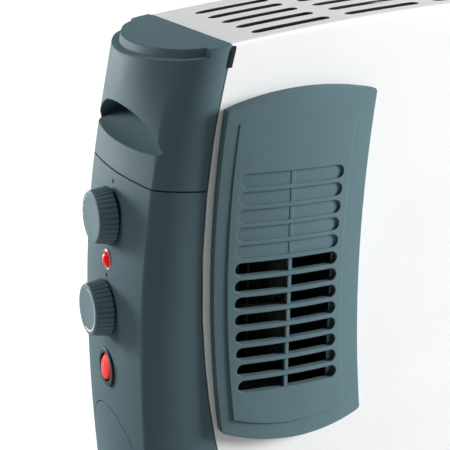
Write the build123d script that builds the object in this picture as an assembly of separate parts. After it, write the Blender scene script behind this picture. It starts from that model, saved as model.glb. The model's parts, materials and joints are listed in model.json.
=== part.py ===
from build123d import *
import os
from math import atan2, cos, degrees, hypot, pi, radians, sin, sqrt

# Convector heater with a turbo fan, free standing on two feet.
# Millimetres, +Z up, front towards -Y, the controls on the end at -X.
# Everything is built about the middle of the case, x = 0, and moved once at the end
# so that the origin lies on the floor under the middle of the whole box.

os.makedirs("parts", exist_ok=True)

# Case
body_depth = 114.4
sheet = 1.2
floor_gap = 43.0
crown_height = 350.0
arch_radius = 1500.0
seam_half_length = 255.4
seam_widest_z = 206.0
seam_radius = 515.0
wrap_edge_radius = 3.5
intake_slot_length = 24.0
intake_slot_width = 6.0
intake_slot_pitch = 14.0
intake_slot_y = 36.0
intake_end_length = 190.0
vent_length = 34.0
vent_width = 4.0
vent_pitch_x = 50.0
vent_pitch_z = 12.0
vent_columns = 8
vent_low_z = 80.0
vent_rows_low = 6
vent_high_z = 230.0
vent_rows_high = 3
back_return = 16.0
panel_gap = 0.3

# Slots in the top of the case
slot_groups = 8
slot_group_pitch = 56.8
slot_rows = 5
slot_row_pitch = 18.3
slot_length = 46.5
slot_width = 8.0
slot_rows_y = -4.6
slot_cut_depth = 40.0

# End covers: outline in plan and how it bows in the front view
ridge_half_length = 285.7
ridge_widest_z = 168.0
ridge_radius_above = 650.0
ridge_radius_below = 1100.0
ridge_y = 45.0
collar_back = 215.0
face_bulge_low = 4.2
face_bulge_high = 12.0
flank_bulge_low = 2.6
flank_bulge_high = 4.0
ridge_round_low = 4.0
ridge_round_high = 16.0
soften_start_z = 260.0
soften_full_z = 326.0
cover_wall = 2.5
seam_gap = 0.7
collar_length = 8.0
collar_wall = 2.0
collar_root = 3.0
slip = 0.15
split_z = 253.5
split_gap = 0.8
ledge_drop = 4.4
ledge_width = 4.0
ledge_end_length = 252.8
ledge_low_z = 284.0
cover_stations = 5
housing_stations = 8

# Grip scoop in each handle cover
scoop_low_z = 270.0
scoop_height = 21.7
scoop_half_width = 48.0
scoop_depth = 25.0
scoop_sag = 2.5
scoop_wall = 2.2
scoop_corner_round = 6.0
scoop_margin = 10.0
scoop_trim = 0.4

# Arch-topped lower cover in each end
lower_arch_top_z = 109.5
lower_arch_radius = 44.0
lower_cover_gap = 0.6
lower_cover_reach = 22.0

# Cooling slots low on the rear flank of each housing
flank_slot_low_z = 70.0
flank_slot_count = 8
flank_slot_pitch = 8.0
flank_slot_height = 3.0
flank_slot_length = 16.0

# Seam clips at the upper corners of the case
clip_width = 2.0
clip_height = 11.0
clip_top_drop = 1.0
clip_rise = 0.6
clip_gap = 0.2

# Controls, all on the middle line of the left end face
selector_z = 228.0
thermostat_z = 173.3
lamp_z = 202.0
rocker_z = 136.0
knob_face_diameter = 30.0
knob_base_diameter = 33.4
knob_height = 10.8
knob_lift = 0.5
knob_seat_gap = 0.6
knob_seat_depth = 0.2
knob_flutes = 34
knob_flute_radius = 0.9
knob_wall = 2.4
knob_edge_round = 1.4
shaft_diameter = 6.0
shaft_hole_diameter = 7.4
shaft_clearance = 0.05
shaft_grip = 8.0
bushing_diameter = 9.0
bushing_length = 8.0
nut_across_flats = 12.0
nut_thickness = 2.5
control_size = 30.0
control_depth = 17.0
control_plate_length = 268.0
control_plate_width = 78.0
control_plate_foot = 254.4
control_tag_spacing = 16.0
tag_width = 6.3
tag_thickness = 0.8
tag_length = 8.0
pointer_dot_diameter = 2.4
pointer_dot_depth = 0.8
pointer_dot_lift = 19.4
lens_diameter = 11.0
lens_dome = 2.6
lens_stem_diameter = 9.0
lens_stem_reach = 1.5
lens_lift = 0.1
lens_seat_depth = 0.4
lamp_body_length = 16.0
lamp_window = 15.0
bezel_diameter = 23.0
bezel_height = 1.8
bezel_seat_depth = 0.6
switch_body_diameter = 20.0
switch_body_length = 22.0
button_diameter = 15.4
button_clearance = 0.9
button_rise = 2.2
button_depth = 6.0
button_tilt = 9.0
button_pin_diameter = 2.0
button_pin_drop = 2.5
button_pin_reach = 1.3
button_pin_gap = 0.3
button_dish_radius = 20.0
button_dish_depth = 1.2

# Fan grille on the front of the case
grille_strip = 4.5
grille_width = 90.4
grille_bow_radius = 680.0
grille_top_z = 306.5
grille_top_radius = 165.0
grille_top_offset = 16.0
grille_bottom_z = 104.5
grille_bottom_radius = 135.0
grille_bottom_offset = 9.0
grille_edge_height = 4.5
grille_crown_radius = 230.0
grille_plate = 3.4
grille_rim_wall = 2.4
grille_corner_round = 2.4
louvre_count = 13
louvre_blind = 5
louvre_pitch = 9.87
louvre_length = 62.3
louvre_height = 7.5
louvre_last_z = 140.8
louvre_offset = -2.7
louvre_bar = 2.2
louvre_floor = 2.5
louvre_bar_drop = 0.7
louvre_bar_offset = 1.5
grille_reach = 25.0
field_half_width = 35.3
field_rise = 1.0
field_rise_top = 0.3
field_margin = 10.5
field_fade_z = 290.0

# Fan behind the grille: an upright tangential blower that draws through the open
# slots and blows to the right, into the heating chamber
fan_x = -206.0
fan_y = -12.0
fan_radius = 23.0
fan_height = 82.0
fan_blades = 24
fan_blade_length = 6.0
fan_blade_thickness = 0.9
fan_blade_lean = 35.0
fan_disc = 1.6
fan_hub_diameter = 10.0
fan_shaft_diameter = 4.0
fan_running_gap = 5.0
fan_throat_y = -20.0
press_gap = 0.02
shroud_wall = 1.6
shroud_low_z = 131.0
shroud_high_z = 219.0
shroud_left_x = -238.0
shroud_right_x = -173.0
shroud_lip = 8.0
shroud_outlet_y = 22.0
motor_lift = 9.0
motor_stack = 18.0
motor_width = 48.0
motor_depth = 40.0
motor_bore = 23.0
rotor_gap = 0.5
coil_length = 30.0
coil_depth = 16.0
coil_height = 26.0
coil_overhang = 6.0
motor_bracket_width = 20.0

# Heating chamber
left_wall_x = -160.0
right_wall_x = 212.0
wall_flange = 9.0
wall_top_z = 300.0
element_zs = (92.0, 148.0)
element_y = 2.0
element_pin_diameter = 3.0
element_pin_length = 8.0
element_tube = 8.4
element_overhang = 6.0
element_fin_size = 46.0
element_fin_thickness = 0.8
element_fin_pitch = 10.0
element_end_length = 22.0
bush_diameter = 15.0
bush_length = 9.0
bush_groove = 1.6
shield_y = -46.0
shield_low_z = 56.0
shield_bend_z = 190.0
shield_top_z = 240.0
shield_lean = 12.0
cutout_diameter = 16.0
cutout_height = 8.0
cutout_y = 20.0
cutout_z = 250.0

# Mains entry low in the back panel, with the terminal block near it
inlet_x = -200.0
inlet_z = 72.0
inlet_neck_diameter = 12.0
inlet_flange_diameter = 20.0
inlet_flange_height = 3.0
inlet_nut_height = 4.0
inlet_neck_spare = 3.0
inlet_bore_radius = 3.75
terminal_x = -200.0
terminal_y = 24.0
terminal_length = 36.0
terminal_depth = 18.0
terminal_height = 15.0
terminal_ways = 3
terminal_pitch = 11.0
terminal_hole = 3.4

# Feet
foot_x = 165.0
foot_width = 46.0
foot_half_length = 100.0
foot_neck_half = 48.0
foot_tip_z = 12.0
foot_arm_sag = 7.0
foot_wall = 3.0
foot_round = 5.0
foot_arch_half = 64.0
foot_arch_rise = 15.0
foot_rib = 2.0
pad_thickness = 2.5
pad_inset = 4.0
pad_length = 28.0
pad_width = 34.0
foot_screw_spacing = 56.0

# Small fixings
screw_head_diameter = 7.0
screw_head_height = 2.2
screw_shank_diameter = 3.6
screw_clearance = 0.1
screw_reach = 30.0
screw_spare = 2.0
screw_drive = 3.4
screw_drive_width = 0.9
screw_drive_depth = 1.0
cover_screw_inset = 4.6
cover_screw_zs = (70.0, 200.0, 296.0)
panel_screw_inset = 4.6
panel_screw_zs = (66.0, 270.0)

# Cutters run on past what they cut by "beyond", and reach out to far_x at the ends
beyond = 5.0
far_x = 300.0

half_depth = body_depth / 2
seam_centre_x = seam_radius - seam_half_length
arch_centre_z = crown_height - arch_radius
BOTTOM = (Align.CENTER, Align.CENTER, Align.MIN)
TOP = (Align.CENTER, Align.CENTER, Align.MAX)


def bowed(widest, widest_z, radius, z):
    """Distance from the middle of a bowed line at height z."""
    return widest - (radius - sqrt(radius**2 - (z - widest_z) ** 2))


def seam_at(z):
    """Half length of the case at height z."""
    return bowed(seam_half_length, seam_widest_z, seam_radius, z)


def ridge_at(z):
    """Half length to the ridge of an end cover at height z."""
    radius = ridge_radius_above if z > ridge_widest_z else ridge_radius_below
    return bowed(ridge_half_length, ridge_widest_z, radius, z)


def soften_at(z):
    """How far the end cover has turned from its crisp form to its soft top, 0 to 1."""
    share = (z - soften_start_z) / (soften_full_z - soften_start_z)
    share = min(1.0, max(0.0, share))
    return share * share * (3 - 2 * share)


def face_bulge_at(z):
    """Bulge of the end face in plan: slight at the controls, full at the handle."""
    return face_bulge_low + soften_at(z) * (face_bulge_high - face_bulge_low)


def face_at(z):
    """Half length to the middle of an end face at height z."""
    return ridge_at(z) + face_bulge_at(z)


def arch_at(x, drop=0.0):
    """Height of the arched top, or of a surface concentric with it, at x."""
    return arch_centre_z + sqrt((arch_radius - drop) ** 2 - x**2)


def along_y(sketch, near, far):
    """Solid of a front-view sketch between two values of y."""
    return Pos(0, far, 0) * extrude(Plane.XZ * sketch, amount=far - near)


def disc(x, z, radius):
    """Disc in a front-view sketch."""
    return Pos(x, z) * Circle(radius)


def arch_disc(drop=0.0):
    """Everything below the arched top in the front view."""
    return disc(0, arch_centre_z, arch_radius - drop)


def band(low, high, left=-far_x, right=far_x):
    """Upright rectangle of a front-view sketch."""
    return Pos((left + right) / 2, (low + high) / 2) * Rectangle(right - left, high - low)


def screw(grip):
    """Pan-head screw along +Z with its head above zero and its shank below."""
    head = Cylinder(screw_head_diameter / 2, screw_head_height, align=BOTTOM)
    head = fillet(head.edges().sort_by(Axis.Z)[-1], screw_head_height * 0.6)
    for angle in (0, 90):
        drive = Box(2 * screw_drive, screw_drive_width, screw_drive_depth, align=TOP)
        head -= Pos(0, 0, screw_head_height) * Rot(0, 0, angle) * drive
    return head + Cylinder(screw_shank_diameter / 2, grip, align=TOP)


def screw_holes(places):
    """Clearance holes of the screws at some places."""
    hole = Cylinder(screw_shank_diameter / 2 + screw_clearance, screw_reach)
    return [place * hole for place in places]


def cover_screw_places():
    """Heads of the screws that hold the end covers, on the rear face, looking out."""
    places = []
    for z in cover_screw_zs:
        x = seam_at(z) - cover_screw_inset
        places += [Location((side * x, half_depth, z), (-90, 0, 0)) for side in (-1, 1)]
    return places


def panel_screw_places():
    """Heads of the screws that hold the back panel to the inner walls."""
    xs = (left_wall_x + panel_screw_inset, right_wall_x - panel_screw_inset)
    return [Location((x, half_depth, z), (-90, 0, 0)) for x in xs for z in panel_screw_zs]


def foot_screw_places():
    """Heads of the screws under the top wall of each foot, looking down."""
    z = floor_gap - foot_wall
    ys = (-foot_screw_spacing / 2, foot_screw_spacing / 2)
    return [Location((side * foot_x, y, z), (180, 0, 0)) for side in (-1, 1) for y in ys]


def case_outline(drop=0.0, spread=0.0, low=floor_gap):
    """Front view of the case: arched top, bowed ends and a straight bottom."""
    ends = disc(seam_centre_x, seam_widest_z, seam_radius + spread)
    ends &= disc(-seam_centre_x, seam_widest_z, seam_radius + spread)
    return arch_disc(drop) & ends & band(low, crown_height + 1)


def case_solid(outline, half, edge_radius, drop):
    """The case outline pulled to its depth, with the two long top edges rounded."""
    solid = along_y(outline, -half, half)
    radius = arch_radius - drop
    edges = solid.edges().filter_by(GeomType.CIRCLE)
    return fillet([e for e in edges if abs(e.radius - radius) < 0.01], edge_radius)


def back_zone(margin):
    """Front view of the back panel, drawn in from the case outline by a margin."""
    return case_outline(back_return + margin, -margin, floor_gap)


def top_slots():
    """Vertical cutters for the outlet slots in the top."""
    slot = extrude(SlotOverall(slot_length, slot_width), amount=slot_cut_depth + beyond)
    first_x = -slot_group_pitch * (slot_groups - 1) / 2
    first_y = slot_rows_y - slot_row_pitch * (slot_rows - 1) / 2
    return [
        Pos(first_x + i * slot_group_pitch, first_y + j * slot_row_pitch, crown_height - slot_cut_depth) * slot
        for i in range(slot_groups)
        for j in range(slot_rows)
    ]


def corner_height():
    """Height where the arched top meets the bowed seam."""
    z = crown_height
    for _ in range(8):
        z = arch_at(seam_at(z))
    return z


def clip_band(grow=0.0):
    """Front view of the seam clips of both ends, as a strip that follows the seam."""
    top = corner_height() - clip_top_drop + grow
    low = top - clip_height - 2 * grow
    reach = seam_radius + seam_gap - clip_gap + grow
    strip = disc(seam_centre_x, seam_widest_z, reach)
    strip -= disc(seam_centre_x, seam_widest_z, seam_radius - clip_width - grow)
    strip &= band(low, top, right=0)
    return strip


def clip_notches():
    """Cutters for the four clips in the edge of the case."""
    strip = along_y(clip_band(clip_gap), half_depth - wrap_edge_radius, half_depth + beyond)
    return [mirror_to(strip, side, face) for side in (-1, 1) for face in (-1, 1)]


def seam_clips():
    """Black clips at the upper corners that lock the covers to the case."""
    rise = case_outline(-clip_rise, clip_rise + seam_gap)
    skin = case_solid(rise, half_depth + clip_rise, wrap_edge_radius + clip_rise, -clip_rise)
    room = case_outline(sheet, seam_gap + beyond, floor_gap - beyond)
    skin -= case_solid(room, half_depth - sheet, wrap_edge_radius - sheet, sheet)
    strip = along_y(clip_band(), half_depth - wrap_edge_radius, half_depth + beyond) & skin
    return [mirror_to(strip, side, face) for side in (-1, 1) for face in (-1, 1)]


def mirror_to(shape, side, face):
    """Copy of a piece of the left rear corner, mirrored to the side and face."""
    if side > 0:
        shape = mirror(shape, Plane.YZ)
    if face < 0:
        shape = mirror(shape, Plane.XZ)
    return shape


def case_wrap():
    """Front panel and slotted top, folded from one sheet."""
    outer = case_solid(case_outline(), half_depth, wrap_edge_radius, 0)
    inner_outline = case_outline(sheet, beyond, floor_gap - beyond)
    inner = case_solid(inner_outline, half_depth - sheet, wrap_edge_radius - sheet, sheet)
    shell = outer - inner
    shell -= along_y(back_zone(0), half_depth - sheet - 1, half_depth + 1)
    shell -= top_slots()
    shell -= along_y(front_opening(), -half_depth - 1, -half_depth + sheet + 1)
    return shell - clip_notches()


def front_opening():
    """Hole in the front panel behind the open slots of the grille."""
    width, height = shroud_right_x - shroud_left_x, shroud_high_z - shroud_low_z - 2 * shroud_wall
    middle = ((shroud_right_x + shroud_left_x) / 2, (shroud_high_z + shroud_low_z) / 2)
    return Pos(*middle) * Rectangle(width, height)


def back_panel():
    """Flat rear sheet with rows of intake louvres and a hole for the cable inlet."""
    zone = back_zone(panel_gap)
    zs = [vent_low_z + i * vent_pitch_z for i in range(vent_rows_low)]
    zs += [vent_high_z + i * vent_pitch_z for i in range(vent_rows_high)]
    first = -vent_pitch_x * (vent_columns - 1) / 2
    zone -= [
        Pos(first + i * vent_pitch_x, z) * SlotOverall(vent_length, vent_width)
        for i in range(vent_columns)
        for z in zs
    ]
    zone -= Pos(inlet_x, inlet_z) * Circle(inlet_neck_diameter / 2 + slip)
    panel = along_y(zone, half_depth - sheet, half_depth)
    return panel - screw_holes(panel_screw_places() + cover_screw_places())


def base_plate():
    """Steel bottom with rows of intake slots, held between the front and back sheets."""
    length = 2 * (seam_at(floor_gap) - seam_gap)
    width = body_depth - 2 * sheet - 2 * slip
    plate = Rectangle(length, width)
    slot = Rot(0, 0, 90) * SlotOverall(intake_slot_length, intake_slot_width)
    count = int(2 * intake_end_length / intake_slot_pitch)
    xs = [intake_slot_pitch * (i - count / 2) for i in range(count + 1)]
    clear = foot_width / 2 + intake_slot_width
    xs = [x for x in xs if abs(abs(x) - foot_x) > clear and wall_clear(x)]
    plate -= [Pos(x, side * intake_slot_y) * slot for x in xs for side in (-1, 1)]
    plate = Pos(0, 0, floor_gap) * extrude(plate, amount=sheet)
    return plate - screw_holes(foot_screw_places())


def wall_clear(x):
    """Whether a slot at x stays clear of both inner walls."""
    reach = intake_slot_width / 2 + wall_flange
    return abs(x - left_wall_x) > reach and abs(x - right_wall_x) > reach


def flank_bulge_at(z):
    """Bulge of the flank in plan."""
    return flank_bulge_low + soften_at(z) * (flank_bulge_high - flank_bulge_low)


def ridge_round_at(z):
    """Corner radius of the ridge in plan: small at the controls, large at the handle."""
    return ridge_round_low + soften_at(z) * (ridge_round_high - ridge_round_low)


def circle_through(first, middle, last):
    """Centre x, centre y and radius of the circle through three points."""
    (ax, ay), (bx, by), (cx, cy) = first, middle, last
    a, b, c = ax * ax + ay * ay, bx * bx + by * by, cx * cx + cy * cy
    twice = 2 * (ax * (by - cy) + bx * (cy - ay) + cx * (ay - by))
    x = (a * (by - cy) + b * (cy - ay) + c * (ay - by)) / twice
    y = (a * (cx - bx) + b * (ax - cx) + c * (bx - ax)) / twice
    return x, y, hypot(ax - x, ay - y)


def heading(circle, point):
    """Angle at which a point is seen from the centre of a circle."""
    return atan2(point[1] - circle[1], point[0] - circle[0])


def blend_circle(first, second, radius):
    """Circle that touches two circles from the inside, on the right of the line between them."""
    from_first, from_second = first[2] - radius, second[2] - radius
    apart = hypot(second[0] - first[0], second[1] - first[1])
    along = (from_first**2 - from_second**2 + apart**2) / (2 * apart)
    across = sqrt(from_first**2 - along**2)
    step_x, step_y = (second[0] - first[0]) / apart, (second[1] - first[1]) / apart
    x = first[0] + along * step_x + across * step_y
    y = first[1] + along * step_y - across * step_x
    return x, y, radius


def arc_of(circle, first, last, inset, side):
    """Arc of a circle between two angles, drawn in by the inset, in front or mirrored behind."""
    x, y, radius = circle[0], circle[1], circle[2] - inset
    turns = (first, (first + last) / 2, last)
    return ThreePointArc(*[(x + radius * cos(t), side * (y + radius * sin(t))) for t in turns])


def cover_plan(z, inset=0.0):
    """Plan outline of the left end cover at height z, closed inside the case."""
    start, corner = (-seam_at(z), -half_depth), (-ridge_at(z), -ridge_y)
    slope = atan2(half_depth - ridge_y, start[0] - corner[0])
    bulge = flank_bulge_at(z)
    middle_x = (start[0] + corner[0]) / 2 - bulge * sin(slope)
    middle_y = (start[1] + corner[1]) / 2 - bulge * cos(slope)
    flank = circle_through(start, (middle_x, middle_y), corner)
    face = circle_through(corner, (-face_at(z), 0), (corner[0], ridge_y))
    ridge = blend_circle(flank, face, ridge_round_at(z))
    turns = (heading(flank, start), heading(flank, ridge), heading(face, ridge))
    outline = [arc_of(face, turns[2], -2 * pi - turns[2], inset, 1)]
    for side in (1, -1):
        outline.append(arc_of(flank, turns[0], turns[1], inset, side))
        outline.append(arc_of(ridge, turns[1], turns[2], inset, side))
    front, rear = outline[1] @ 0, outline[3] @ 0
    back = (-collar_back + inset, front.Y), (-collar_back + inset, rear.Y)
    outline += [Line(front, back[0]), Line(back[0], back[1]), Line(back[1], rear)]
    return Pos(0, 0, z) * make_face(outline)


def cover_loft(low, high, steps, inset=0.0):
    """Solid through the plan outlines between two heights."""
    heights = [low + (high - low) * i / steps for i in range(steps + 1)]
    return loft([cover_plan(z, inset) for z in heights])


def outside_case(gap):
    """Cutter that holds everything on the case's side of the left seam."""
    deep = half_depth + beyond
    return along_y(disc(seam_centre_x, seam_widest_z, seam_radius + gap), -deep, deep)


def collar(low, high):
    """Ring that stands in the end of the case and carries a cover."""
    ends = disc(seam_centre_x, seam_widest_z, seam_radius + collar_root)
    ends -= disc(seam_centre_x, seam_widest_z, seam_radius - collar_length)
    zone = along_y(ends & band(low, high, right=0), -half_depth, half_depth)
    drop = sheet + slip
    ring = case_plug(drop) - case_plug(drop + collar_wall)
    return ring & zone


def case_plug(drop):
    """Solid that fills the case, smaller all round by a drop."""
    outline = case_outline(drop, 2 * collar_root, floor_gap - beyond)
    return case_solid(outline, half_depth - drop, max(1.0, wrap_edge_radius - drop), drop)


def scoop_void(grow=0.0):
    """Hollow of the grip scoop: an arched mouth over a floor that rises inwards."""
    crown_u = face_at(scoop_low_z)
    reach, lowest = scoop_half_width + grow, scoop_low_z - grow
    mouth = Pos(0, scoop_low_z) * Ellipse(reach, scoop_height + grow)
    mouth &= Pos(0, lowest + reach / 2) * Rectangle(3 * reach, reach)
    mouth &= Pos(0, lowest + reach / 2) * RectangleRounded(2 * reach - scoop_trim, reach, scoop_corner_round)
    inner_x = -crown_u + scoop_depth + scoop_margin
    prism = Pos(inner_x, 0, 0) * extrude(Plane.YZ * mouth, amount=-scoop_depth - 3 * scoop_margin)
    low = (-crown_u - scoop_margin, lowest - scoop_margin)
    start = (-crown_u, lowest)
    end = (-crown_u + scoop_depth + grow, scoop_low_z + scoop_height + grow)
    middle = ((start[0] + end[0]) / 2 + scoop_sag, (start[1] + end[1]) / 2 - scoop_sag)
    top_z = end[1] + scoop_margin
    side = make_face([
        Line(low, start),
        ThreePointArc(start, middle, end),
        Line(end, (end[0], top_z)),
        Line((end[0], top_z), (low[0], top_z)),
        Line((low[0], top_z), low),
    ])
    return prism & along_y(side, -reach - beyond, reach + beyond)


def handle_cover():
    """Left handle cover: lofted shell with a stepped top and a grip scoop."""
    low, high = split_z + split_gap / 2, crown_height + beyond
    deep = half_depth + beyond
    cover = cover_loft(low, high, cover_stations) & along_y(arch_disc(), -deep, deep)
    cover -= outside_case(seam_gap)
    room = cover_loft(low - beyond, high, cover_stations, cover_wall)
    room &= along_y(arch_disc(ledge_drop + cover_wall), -deep, deep)
    cover -= room
    step = along_y(band(low, high + beyond, right=-ledge_end_length), -deep, deep)
    step -= along_y(arch_disc(ledge_drop), -deep, deep)
    cover -= step - cover_loft(ledge_low_z, high + beyond, cover_stations, ledge_width)
    cover += collar(low, crown_height) - screw_holes(cover_screw_places())
    cover += scoop_void(scoop_wall) & room
    return cover - scoop_void()


def lower_arch(grow=0.0):
    """Cutter with an arched top for the lower cover."""
    radius = lower_arch_radius + grow
    centre_z = lower_arch_top_z - lower_arch_radius
    arch = Pos(0, centre_z) * Circle(radius) + Pos(0, centre_z / 2) * Rectangle(2 * radius, centre_z)
    reach = ridge_at(lower_arch_top_z) - lower_cover_reach
    return Pos(-reach, 0, 0) * extrude(Plane.YZ * arch, amount=-far_x)


def housing_shell():
    """Left end below the handle: lofted shell with a closed bottom and a collar."""
    high = split_z - split_gap / 2
    shell = cover_loft(floor_gap, high, housing_stations)
    shell -= cover_loft(floor_gap + cover_wall, high + beyond, housing_stations, cover_wall)
    ring = collar(floor_gap + sheet + slip, high) - screw_holes(cover_screw_places())
    return shell - outside_case(seam_gap) + ring


def lower_cover():
    """Arch-topped cover at the foot of the left end."""
    return housing_shell() & lower_arch()


def end_housing():
    """Housing of an end without controls."""
    return housing_shell() - lower_arch(lower_cover_gap) - vent_slots()


def vent_slots():
    """Row of cooling slots low on the rear flank of the housing."""
    slot = Box(flank_slot_length, 2 * (cover_wall + beyond), flank_slot_height)
    slots = []
    for i in range(flank_slot_count):
        z = flank_slot_low_z + i * flank_slot_pitch
        slots.append(Pos(-(seam_at(z) + ridge_at(z)) / 2, half_depth - cover_wall, z) * slot)
    return slots


def end_axis(z):
    """Place on the left end face at height z, looking out along -X."""
    return Location((-face_at(z), 0, z), (0, -90, 0))


def control_housing():
    """Left housing with seats and holes for the controls."""
    housing = end_housing()
    for z in (thermostat_z, selector_z):
        housing -= end_axis(z) * Cylinder(shaft_hole_diameter / 2, 4 * beyond)
        seat = Cylinder(knob_base_diameter / 2 + knob_seat_gap, beyond, align=BOTTOM)
        housing -= end_axis(z) * Pos(0, 0, -knob_seat_depth) * seat
        dot = Pos(-face_at(z + pointer_dot_lift) - pointer_dot_depth, 0, z + pointer_dot_lift)
        housing -= dot * Rot(0, 90, 0) * Cylinder(pointer_dot_diameter / 2, 4 * pointer_dot_depth)
    housing -= end_axis(lamp_z) * Cylinder(lens_stem_diameter / 2 + slip, 4 * beyond)
    seat = Cylinder(lens_diameter / 2 + slip, beyond, align=BOTTOM)
    housing -= end_axis(lamp_z) * Pos(0, 0, -lens_seat_depth) * seat
    housing -= end_axis(rocker_z) * Cylinder(switch_body_diameter / 2 + slip, 4 * beyond)
    seat = Cylinder(bezel_diameter / 2 + slip, beyond, align=BOTTOM)
    return housing - end_axis(rocker_z) * Pos(0, 0, -bezel_seat_depth) * seat


def knob(z):
    """Fluted knob, hollow behind, with a boss that grips the shaft."""
    turn = extrude(Circle(knob_base_diameter / 2), amount=knob_height, taper=knob_taper())
    turn = fillet(turn.edges().sort_by(Axis.Z)[-1], knob_edge_round)
    ring = (knob_face_diameter + knob_base_diameter) / 4 + knob_flute_radius * 0.45
    flute = Cylinder(knob_flute_radius, 3 * knob_height)
    turn -= [Rot(0, 0, 360 * i / knob_flutes) * Pos(ring, 0, 0) * flute for i in range(knob_flutes)]
    inside = knob_face_diameter / 2 - knob_wall
    room = Cylinder(inside, knob_height - knob_wall, align=BOTTOM)
    room -= Cylinder(shaft_diameter / 2 + knob_wall, knob_height, align=BOTTOM)
    turn -= room
    turn -= Cylinder(shaft_diameter / 2 + shaft_clearance, knob_height - knob_wall, align=BOTTOM)
    return end_axis(z) * Pos(0, 0, knob_lift) * turn


def knob_taper():
    """Slope of the knob's side in degrees."""
    return degrees(atan2((knob_base_diameter - knob_face_diameter) / 2, knob_height))


def shaft(z):
    """Control shaft from the switch body to the knob."""
    tip = face_at(z) + knob_lift + knob_height - knob_wall - 0.3
    length = tip - control_plate_length + shaft_grip
    return Pos(-tip, 0, z) * Rot(0, 90, 0) * Cylinder(shaft_diameter / 2, length, align=BOTTOM)


def control_body(z):
    """Switch body clamped behind the control plate, with its threaded bushing."""
    inner = Pos(-control_plate_length + sheet, 0, z) * Rot(0, 90, 0)
    body = inner * Box(control_size, control_size, control_depth, align=BOTTOM)
    bushing = Cylinder(bushing_diameter / 2, bushing_length, align=BOTTOM)
    body += inner * Pos(0, 0, -bushing_length) * bushing
    for y in (-control_tag_spacing / 2, control_tag_spacing / 2):
        body += inner * Pos(0, y, control_depth) * tag()
    bore = Cylinder(shaft_diameter / 2 + shaft_clearance, shaft_grip + bushing_length + 0.3, align=BOTTOM)
    return body - inner * Pos(0, 0, -bushing_length) * bore


def tag():
    """Flat push-on tag along +Z."""
    return Box(tag_width, tag_thickness, tag_length, align=BOTTOM)


def shaft_nuts():
    """Hexagon nuts that clamp both switch bodies to the control plate."""
    hexagon = RegularPolygon(nut_across_flats / 2, 6, major_radius=False)
    hexagon -= Circle(bushing_diameter / 2 + slip)
    nut = extrude(hexagon, amount=nut_thickness)
    return [Pos(-control_plate_length, 0, z) * Rot(0, -90, 0) * nut for z in (thermostat_z, selector_z)]


def control_plate():
    """Hat-shaped steel plate behind the controls, with feet inside the collar."""
    low, high = rocker_z + switch_body_diameter, selector_z + control_size * 0.8
    middle = (low + high) / 2
    plate = Pos(0, middle) * Rectangle(control_plate_width, high - low)
    for z in (thermostat_z, selector_z):
        plate -= Pos(0, z) * Circle(bushing_diameter / 2 + slip)
    plate -= Pos(0, lamp_z) * Rectangle(lamp_window, lamp_window)
    plate = Pos(-control_plate_length, 0, 0) * extrude(Plane.YZ * plate, amount=sheet)
    reach = control_plate_length - control_plate_foot
    half = control_plate_width / 2
    foot = half_depth - sheet - slip - collar_wall - slip - half
    for side in (-1, 1):
        arm = Box(reach, sheet, high - low, align=(Align.MIN, Align.CENTER, Align.CENTER))
        plate += Pos(-control_plate_length, side * (half - sheet / 2), middle) * arm
        toe = Box(sheet, foot + sheet, high - low, align=(Align.MAX, Align.CENTER, Align.CENTER))
        plate += Pos(-control_plate_foot, side * (half + (foot - sheet) / 2), middle) * toe
    return plate


def lamp_lens():
    """Red domed lens with the stem that passes through the housing."""
    dome_radius = ((lens_diameter / 2) ** 2 + lens_dome**2) / (2 * lens_dome)
    dome = Pos(0, 0, lens_dome - dome_radius) * Sphere(dome_radius)
    cap = dome & Cylinder(lens_diameter / 2, 2 * lens_dome, align=BOTTOM)
    stem = Cylinder(lens_stem_diameter / 2, cover_wall + lens_stem_reach, align=TOP)
    return end_axis(lamp_z) * Pos(0, 0, lens_lift - lens_seat_depth) * (cap + stem)


def lamp_holder():
    """Neon lamp holder pushed on behind the lens."""
    holder = Cylinder(lens_stem_diameter / 2, lamp_body_length, align=TOP)
    holder += Pos(0, 0, -lamp_body_length - tag_length) * tag()
    back = lens_lift - lens_seat_depth - cover_wall - lens_stem_reach
    return end_axis(lamp_z) * Pos(0, 0, back) * holder


def rocker_bezel():
    """Round rocker switch: bezel outside, body and tags inside."""
    bezel = Cylinder(bezel_diameter / 2, bezel_height, align=BOTTOM)
    bezel = fillet(bezel.edges().sort_by(Axis.Z)[-1], bezel_height * 0.5)
    body = Cylinder(switch_body_diameter / 2, switch_body_length, align=TOP)
    whole = bezel + body
    for y in (-switch_body_diameter / 4, switch_body_diameter / 4):
        whole += Pos(0, y, -switch_body_length - tag_length) * tag()
    well = Cylinder(button_diameter / 2 + button_clearance, button_depth + bezel_height + beyond, align=TOP)
    whole -= Pos(0, 0, bezel_height) * well
    pin_length = button_diameter + 2 * (button_pin_reach + button_pin_gap)
    pin = Rot(90, 0, 0) * Cylinder(button_pin_diameter / 2 + shaft_clearance, pin_length)
    whole -= Pos(0, 0, -button_pin_drop) * pin
    return end_axis(rocker_z) * Pos(0, 0, -bezel_seat_depth) * whole


def rocker_button():
    """Red rocker with a dished face on two pivot pins, shown pressed at the top."""
    button = Cylinder(button_diameter / 2, button_depth + button_rise, align=BOTTOM)
    dish_z = button_depth + button_rise + button_dish_radius - button_dish_depth
    button -= Pos(0, 0, dish_z) * Rot(90, 0, 0) * Cylinder(button_dish_radius, 4 * button_diameter)
    button = Pos(0, 0, -button_depth) * button
    pin = Rot(90, 0, 0) * Cylinder(button_pin_diameter / 2, button_diameter + 2 * button_pin_reach)
    button += Pos(0, 0, -button_pin_drop) * pin
    pivot = Pos(0, 0, -button_pin_drop)
    turned = pivot * Rot(0, button_tilt, 0) * Pos(0, 0, button_pin_drop) * button
    return end_axis(rocker_z) * Pos(0, 0, -bezel_seat_depth) * turned


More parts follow.
